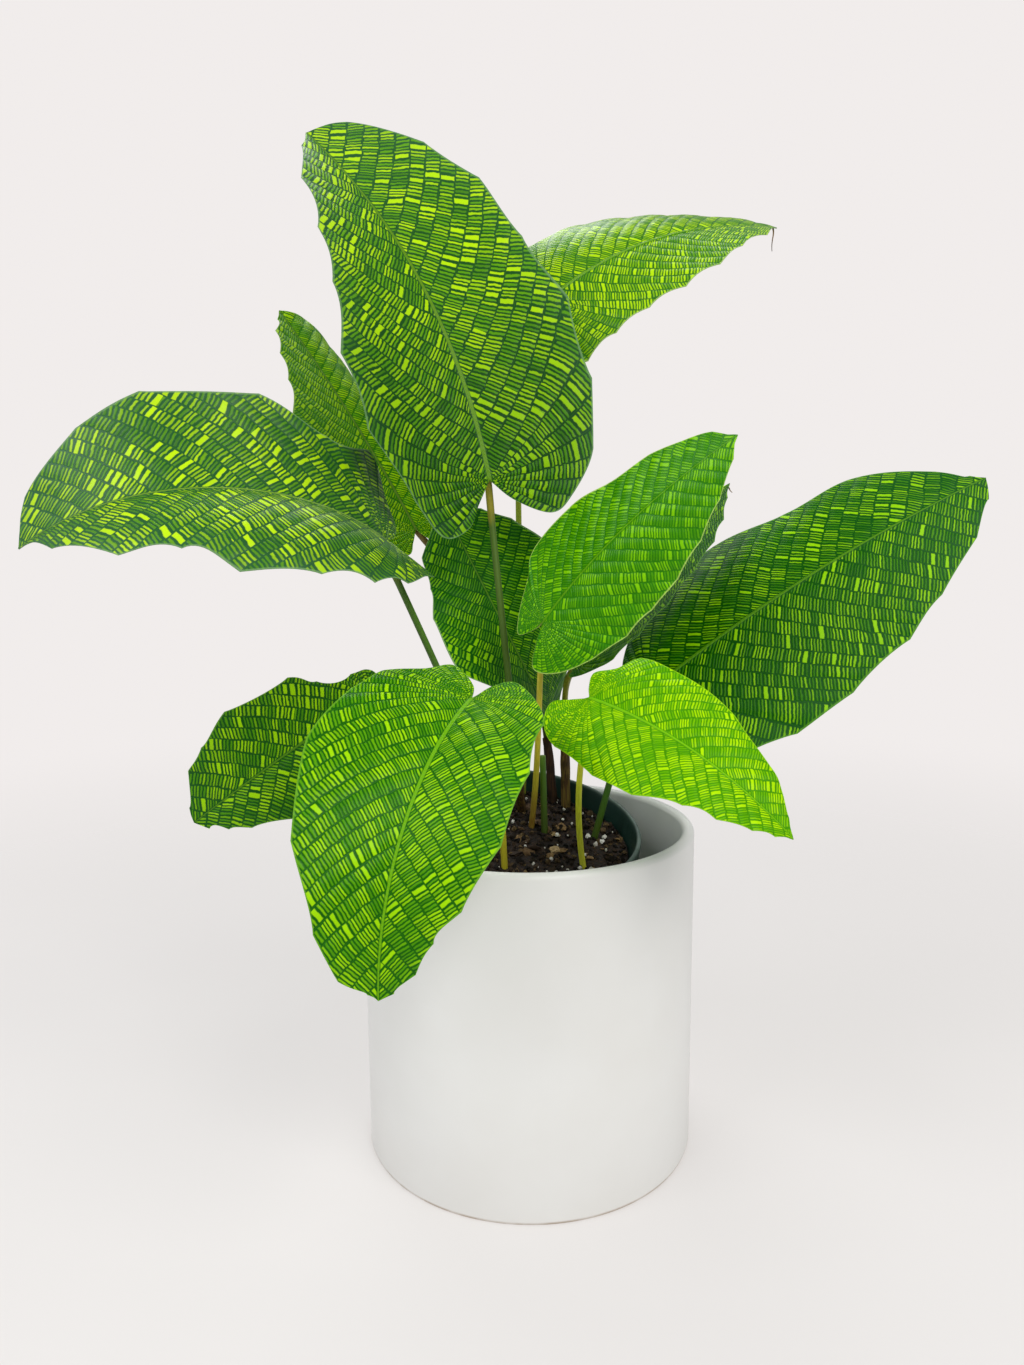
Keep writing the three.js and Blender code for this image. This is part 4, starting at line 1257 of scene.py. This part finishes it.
def leaf_skin(name, look, seed):
    """The mosaic of a leaf: strips between side veins, cut into bricks by fine cross veins."""
    leaf = Nodes(name)
    mosaic = leaf.add("Attribute", attribute_name="mosaic").outputs["Vector"]
    strip, reach, out = leaf.add("SeparateXYZ", {0: mosaic}).outputs
    spot = leaf.add("Attribute", attribute_name="spot").outputs["Vector"]
    along, share, upper = leaf.add("SeparateXYZ", {0: spot}).outputs
    place = leaf.place()

    # The strips: which one this is, how far across it, and how far from its nearer side vein.
    wobble = leaf.math("MULTIPLY", leaf.math("SUBTRACT", leaf.noise(place, 140.0), 0.5), 0.24)
    strip = leaf.math("ADD", strip, wobble)
    right = leaf.math("GREATER_THAN", out, 0.0)
    cell = leaf.math("MULTIPLY_ADD", right, 57.0, leaf.math("FLOOR", strip))
    cell = leaf.math("ADD", cell, seed * 131.0)
    across = leaf.math("FRACT", strip)
    mirrored = leaf.math("SUBTRACT", 1.0, across)
    to_vein = leaf.math("MULTIPLY", leaf.math("MINIMUM", across, mirrored), look["pitch"])

    def dice(a, b):
        """Three numbers by chance, the same wherever a and b are."""
        both = leaf.add("CombineXYZ", {0: a, 1: b}).outputs[0]
        made = leaf.add("TexWhiteNoise", {"Vector": both}, noise_dimensions="2D")
        return leaf.add("SeparateColor", {0: made.outputs["Color"]}).outputs

    def drift(scale, shift):
        """Slow noise along a strip, its own in each strip."""
        at = leaf.math("MULTIPLY", reach, scale)
        row = leaf.math("MULTIPLY", cell, 3.7)
        both = leaf.add("CombineXYZ", {0: at, 1: row, 2: shift}).outputs[0]
        return leaf.add("TexNoise", {"Vector": both, "Scale": 1.0, "Detail": 1.0}).outputs[0]

    # The bricks: a count along the strip, uneven and slanting, where some neighbours are one.
    chances = dice(cell, 0.5)
    slope = leaf.math("MULTIPLY_ADD", chances[0], 1.6, -0.5)
    slant = leaf.math("MULTIPLY", slope, leaf.math("SUBTRACT", across, 0.5))
    count = leaf.math("DIVIDE", reach, look["brick"])
    count = leaf.math("ADD", count, leaf.math("MULTIPLY", drift(0.14, 0.0), 1.5))
    count = leaf.math("ADD", count, slant)
    ragged = leaf.math("SUBTRACT", leaf.noise(place, 420.0), 0.5)
    count = leaf.math("ADD", count, leaf.math("MULTIPLY", ragged, 0.55))
    count = leaf.math("ADD", count, leaf.math("MULTIPLY", chances[1], 300.0))
    pair_place = leaf.math("MULTIPLY", count, 0.5)
    pair = dice(leaf.math("FLOOR", pair_place), cell)
    single = dice(leaf.math("FLOOR", count), leaf.math("ADD", cell, 0.25))
    in_pair, in_single = leaf.math("FRACT", pair_place), leaf.math("FRACT", count)
    pair_edge = leaf.math("MINIMUM", in_pair, leaf.math("SUBTRACT", 1.0, in_pair))
    pair_edge = leaf.math("MULTIPLY", pair_edge, 2.0)
    single_edge = leaf.math("MINIMUM", in_single, leaf.math("SUBTRACT", 1.0, in_single))
    cluster = drift(0.09, 5.0)
    wide = leaf.math("LESS_THAN", pair[0], leaf.math("MULTIPLY", cluster, look["wide"] * 1.7))

    def either(switch, no, yes):
        """The one or the other number, as the switch is 0 or 1."""
        return leaf.math("ADD", leaf.math("MULTIPLY", switch, leaf.math("SUBTRACT", yes, no)), no)

    to_rung = leaf.math("MULTIPLY", either(wide, single_edge, pair_edge), look["brick"])
    narrow = either(wide, look["gap"] / 2, look["gap"] / 2 + look["brick"] * 0.2)
    to_rung = leaf.math("SUBTRACT", to_rung, narrow)
    short = leaf.math("MULTIPLY", either(wide, single[2], pair[2]), look["pitch"] * 0.09)
    to_end = leaf.math("SUBTRACT", leaf.math("SUBTRACT", to_vein, short), 0.12)
    inside = leaf.math("SMOOTH_MIN", to_rung, to_end, 0.35)
    brick = leaf.step(inside, -0.2, 0.22)
    tone = leaf.math("MULTIPLY_ADD", cluster, 1.3, look["lit"] - 0.36)
    tone = leaf.math("MULTIPLY_ADD", single[0], 0.55, tone)
    tone = either(wide, tone, leaf.math("MULTIPLY_ADD", pair[1], 0.25, 0.85))

    # The colours of the bricks, side veins, midrib, margin line (in part a painted highlight) and
    # underside, and a painted bluish reflection.
    bright, mid = (*paint(*look["bright"]), 1), (*paint(*look["mid"]), 1)
    dark, rib = (*paint(*look["dark"]), 1), (*paint(*look["rib"]), 1)
    faint = leaf.mix(0.35, dark, mid)
    lit = leaf.mix(leaf.step(tone, 0.0, 0.5), faint, mid)
    lit = leaf.mix(leaf.step(tone, 0.4, 1.0), lit, bright)
    tint = leaf.mix(brick, dark, lit)
    tint = leaf.mix(leaf.step(to_vein, 0.03, 0.2, 0.5, 0.0), tint, faint)
    deep = leaf.step(along, 0.0, 0.6, look["deep"], 0.0)
    tint = leaf.mix(deep, tint, leaf.mix(1.0, tint, (0.34, 0.5, 0.3, 1), "MULTIPLY"))
    off_rib = leaf.math("ABSOLUTE", out)
    half_rib = leaf.math("MULTIPLY_ADD", along, -0.65 * look["rib_width"], look["rib_width"])
    from_rib = leaf.math("SUBTRACT", off_rib, half_rib)
    tint = leaf.mix(leaf.step(from_rib, 0.1, 0.7, 0.7, 0.0), tint, dark)
    tint = leaf.mix(leaf.step(from_rib, -0.25, 0.12, 1.0, 0.0), tint, rib)
    # The margin line: the leaf's own pale edge, and on the darker leaves also a painted highlight along the
    # rim.
    tint = leaf.mix(leaf.step(share, 0.978, 0.992, 0.0, 0.8), tint, (*paint(*look["edge"]), 1))
    # Painted reflection: the colour turns bluish towards the tip and margin, less on the bricks, as a
    # painted reflection of the pale room.
    painted_reflection = leaf.math("MULTIPLY", leaf.step(along, 0.5, 1.0), look["painted_sheen"] * 0.45)
    painted_reflection = leaf.math("ADD", painted_reflection, leaf.math("MULTIPLY", leaf.step(share, 0.7, 1.0), look["painted_sheen"] * 0.25))
    painted_reflection = leaf.math("MULTIPLY", painted_reflection, leaf.math("SUBTRACT", 1.0, leaf.math("MULTIPLY", brick, 0.5)))
    tint = leaf.mix(painted_reflection, tint, (*paint(92, 140, 112), 1))
    pale = leaf.mix(0.5, tint, (*paint(112, 150, 84), 1))
    tint = leaf.mix(upper, pale, tint)

    # The relief: quilted between side veins, each brick raised a little, and a fine grain.
    dome = leaf.step(to_vein, 0.0, look["pitch"] * 0.42)
    raised = leaf.step(inside, -0.3, 0.3)
    fine = leaf.bump(leaf.noise(place, 1500.0, 2.0), 0.08, 0.0002)
    pressed = leaf.bump(raised, 0.4, 0.00022, fine)
    normal = leaf.bump(dome, 0.3, 0.0005, pressed)
    material = leaf.finish(
        Base_Color=tint,
        Roughness=look["rough"],
        Specular_IOR_Level=look["shine"],
        Normal=normal,
    )

    # A little light comes through the leaf.
    through = leaf.add("BsdfTranslucent", {"Color": leaf.mix(0.35, tint, bright), "Normal": normal})
    both = leaf.add("MixShader", {0: 0.12, 1: leaf.shader.outputs[0], 2: through.outputs[0]})
    leaf.tree.links.new(both.outputs[0], leaf.output.inputs["Surface"])
    return material


for seed, (name, look) in enumerate(LOOKS.items()):
    blade = blade_piece("leaf_" + name, BLADES[name], look)
    slot = "leaf_light" if name in ("low_right", "young") else "leaf_dark"
    dress(blade, leaf_skin("leaf_skin_" + name, look, seed + 1), slot, "blade_" + name)


# Tip threads: the drawn-out tips of two leaves, which have dried and shrunk into short brown
# threads. Each grows out of its blade, curls a little and hangs.
THREADS = {"back_right": (-2.5, -1.0, -13), "behind": (1.5, -1.0, -5)}
THREAD_ROOT = 3
for name, hang in THREADS.items():
    _, point, along, _, _ = BLADES[name]["midrib"]
    t = np.linspace(0, 1, 14)[:, None]
    line = point[-1] - along[-1] * THREAD_ROOT * (1 - t) + np.array(hang) * t**1.6
    line = line + np.array([1, 0.4, 0]) * np.sin(t * 6) * 0.7 * t
    thread = tube("tip_thread_of_" + name, line, 0.55 - 0.38 * t[:, 0], 8)
    dress(thread, papery("thread_" + name, (84, 58, 34), (150, 120, 70)), "dry_sheath", "blade_" + name)


# Floor: a plain pale studio surface, matt and lit evenly. It fades out before its edge, so that no
# horizon shows.
FLOOR_RADIUS = 2.6
bpy.ops.object.select_all(action="DESELECT")
bpy.ops.mesh.primitive_circle_add(
    vertices=96, radius=FLOOR_RADIUS, fill_type="NGON", location=(0, 0, 0)
)
floor = bpy.context.object
floor.name = "floor"
plain = Nodes("plain_floor")
place = plain.place()
away = plain.add("VectorMath", {0: place}, operation="LENGTH").outputs["Value"]
cloud = plain.noise(place, 3.0)
plain.finish(
    Base_Color=plain.mix(cloud, (0.80, 0.775, 0.76, 1), (0.83, 0.805, 0.79, 1)),
    Roughness=0.85,
    Specular_IOR_Level=0.1,
)
glow = plain.mix(cloud, (0.80, 0.775, 0.755, 1), (0.83, 0.8, 0.785, 1))
lifted = plain.add("Emission", {"Color": glow}).outputs[0]
even = plain.add("MixShader", {0: 0.5, 1: plain.shader.outputs[0], 2: lifted}).outputs[0]
clear = plain.add("BsdfTransparent").outputs[0]
faded = plain.add("MixShader", {0: plain.step(away, 0.15, 1.2), 1: even, 2: clear}).outputs[0]
plain.tree.links.new(faded, plain.output.inputs["Surface"])
floor.data.materials.append(plain.material)


# Light: an even pale room, a large soft window high in front on the right, a softer fill from
# the left, a small one into the mouth of the pot, and a light from above and behind.
world = bpy.data.worlds.new("pale_room")
world.use_nodes = True
bpy.context.scene.world = world
nodes, links = world.node_tree.nodes, world.node_tree.links
backdrop = nodes["Background"]
backdrop.inputs["Color"].default_value = (0.88, 0.845, 0.835, 1)
backdrop.inputs["Strength"].default_value = 1.0
room = nodes.new("ShaderNodeBackground")
room.inputs["Color"].default_value = (0.95, 0.97, 1.0, 1)
room.inputs["Strength"].default_value = 0.42
rays = nodes.new("ShaderNodeLightPath")
either = nodes.new("ShaderNodeMixShader")
links.new(rays.outputs["Is Camera Ray"], either.inputs[0])
links.new(room.outputs[0], either.inputs[1])
links.new(backdrop.outputs[0], either.inputs[2])
links.new(either.outputs[0], nodes["World Output"].inputs["Surface"])


def softbox(name, position, target, size, power, colour):
    """A round soft light in metres and watts, turned to its target."""
    light = bpy.data.lights.new(name, "AREA")
    light.shape = "DISK"
    light.size = size
    light.energy = power
    light.color = colour
    lamp = bpy.data.objects.new(name, light)
    lamp.location = position
    lamp.rotation_euler = (Vector(target) - Vector(position)).to_track_quat("-Z", "Y").to_euler()
    bpy.context.collection.objects.link(lamp)


softbox("window", (0.75, -0.95, 1.35), (0, 0, 0.25), 0.9, 10.5, (1.0, 0.985, 0.96))
softbox("fill", (-0.85, -0.65, 1.15), (0, 0, 0.22), 0.8, 7, (0.97, 0.985, 1.0))
softbox("into_pot", (0.16, -0.62, 0.62), (0.02, 0, 0.16), 0.22, 1.1, (1.0, 0.99, 0.97))
softbox("above", (-0.2, 0.7, 1.3), (0, 0, 0.3), 0.8, 6, (1.0, 1.0, 1.0))
bpy.context.scene.view_settings.view_transform = "Standard"


# Camera: a short lens where the photograph was taken from, close in front of the plant and a
# little above its middle, looking slightly down.
CAMERA_AT = (-0.00771, -0.4911, 0.30665)
LOOK_DOWN = math.radians(8.11)
CAMERA_ROLL = -0.007
lens = bpy.data.cameras.new("camera")
lens.lens = 26.0
lens.sensor_width = 36.0
camera = bpy.data.objects.new("camera", lens)
facing = Matrix.Rotation(math.pi / 2 - LOOK_DOWN, 4, "X") @ Matrix.Rotation(CAMERA_ROLL, 4, "Z")
camera.matrix_world = Matrix.Translation(CAMERA_AT) @ facing
bpy.context.collection.objects.link(camera)
bpy.context.scene.camera = camera
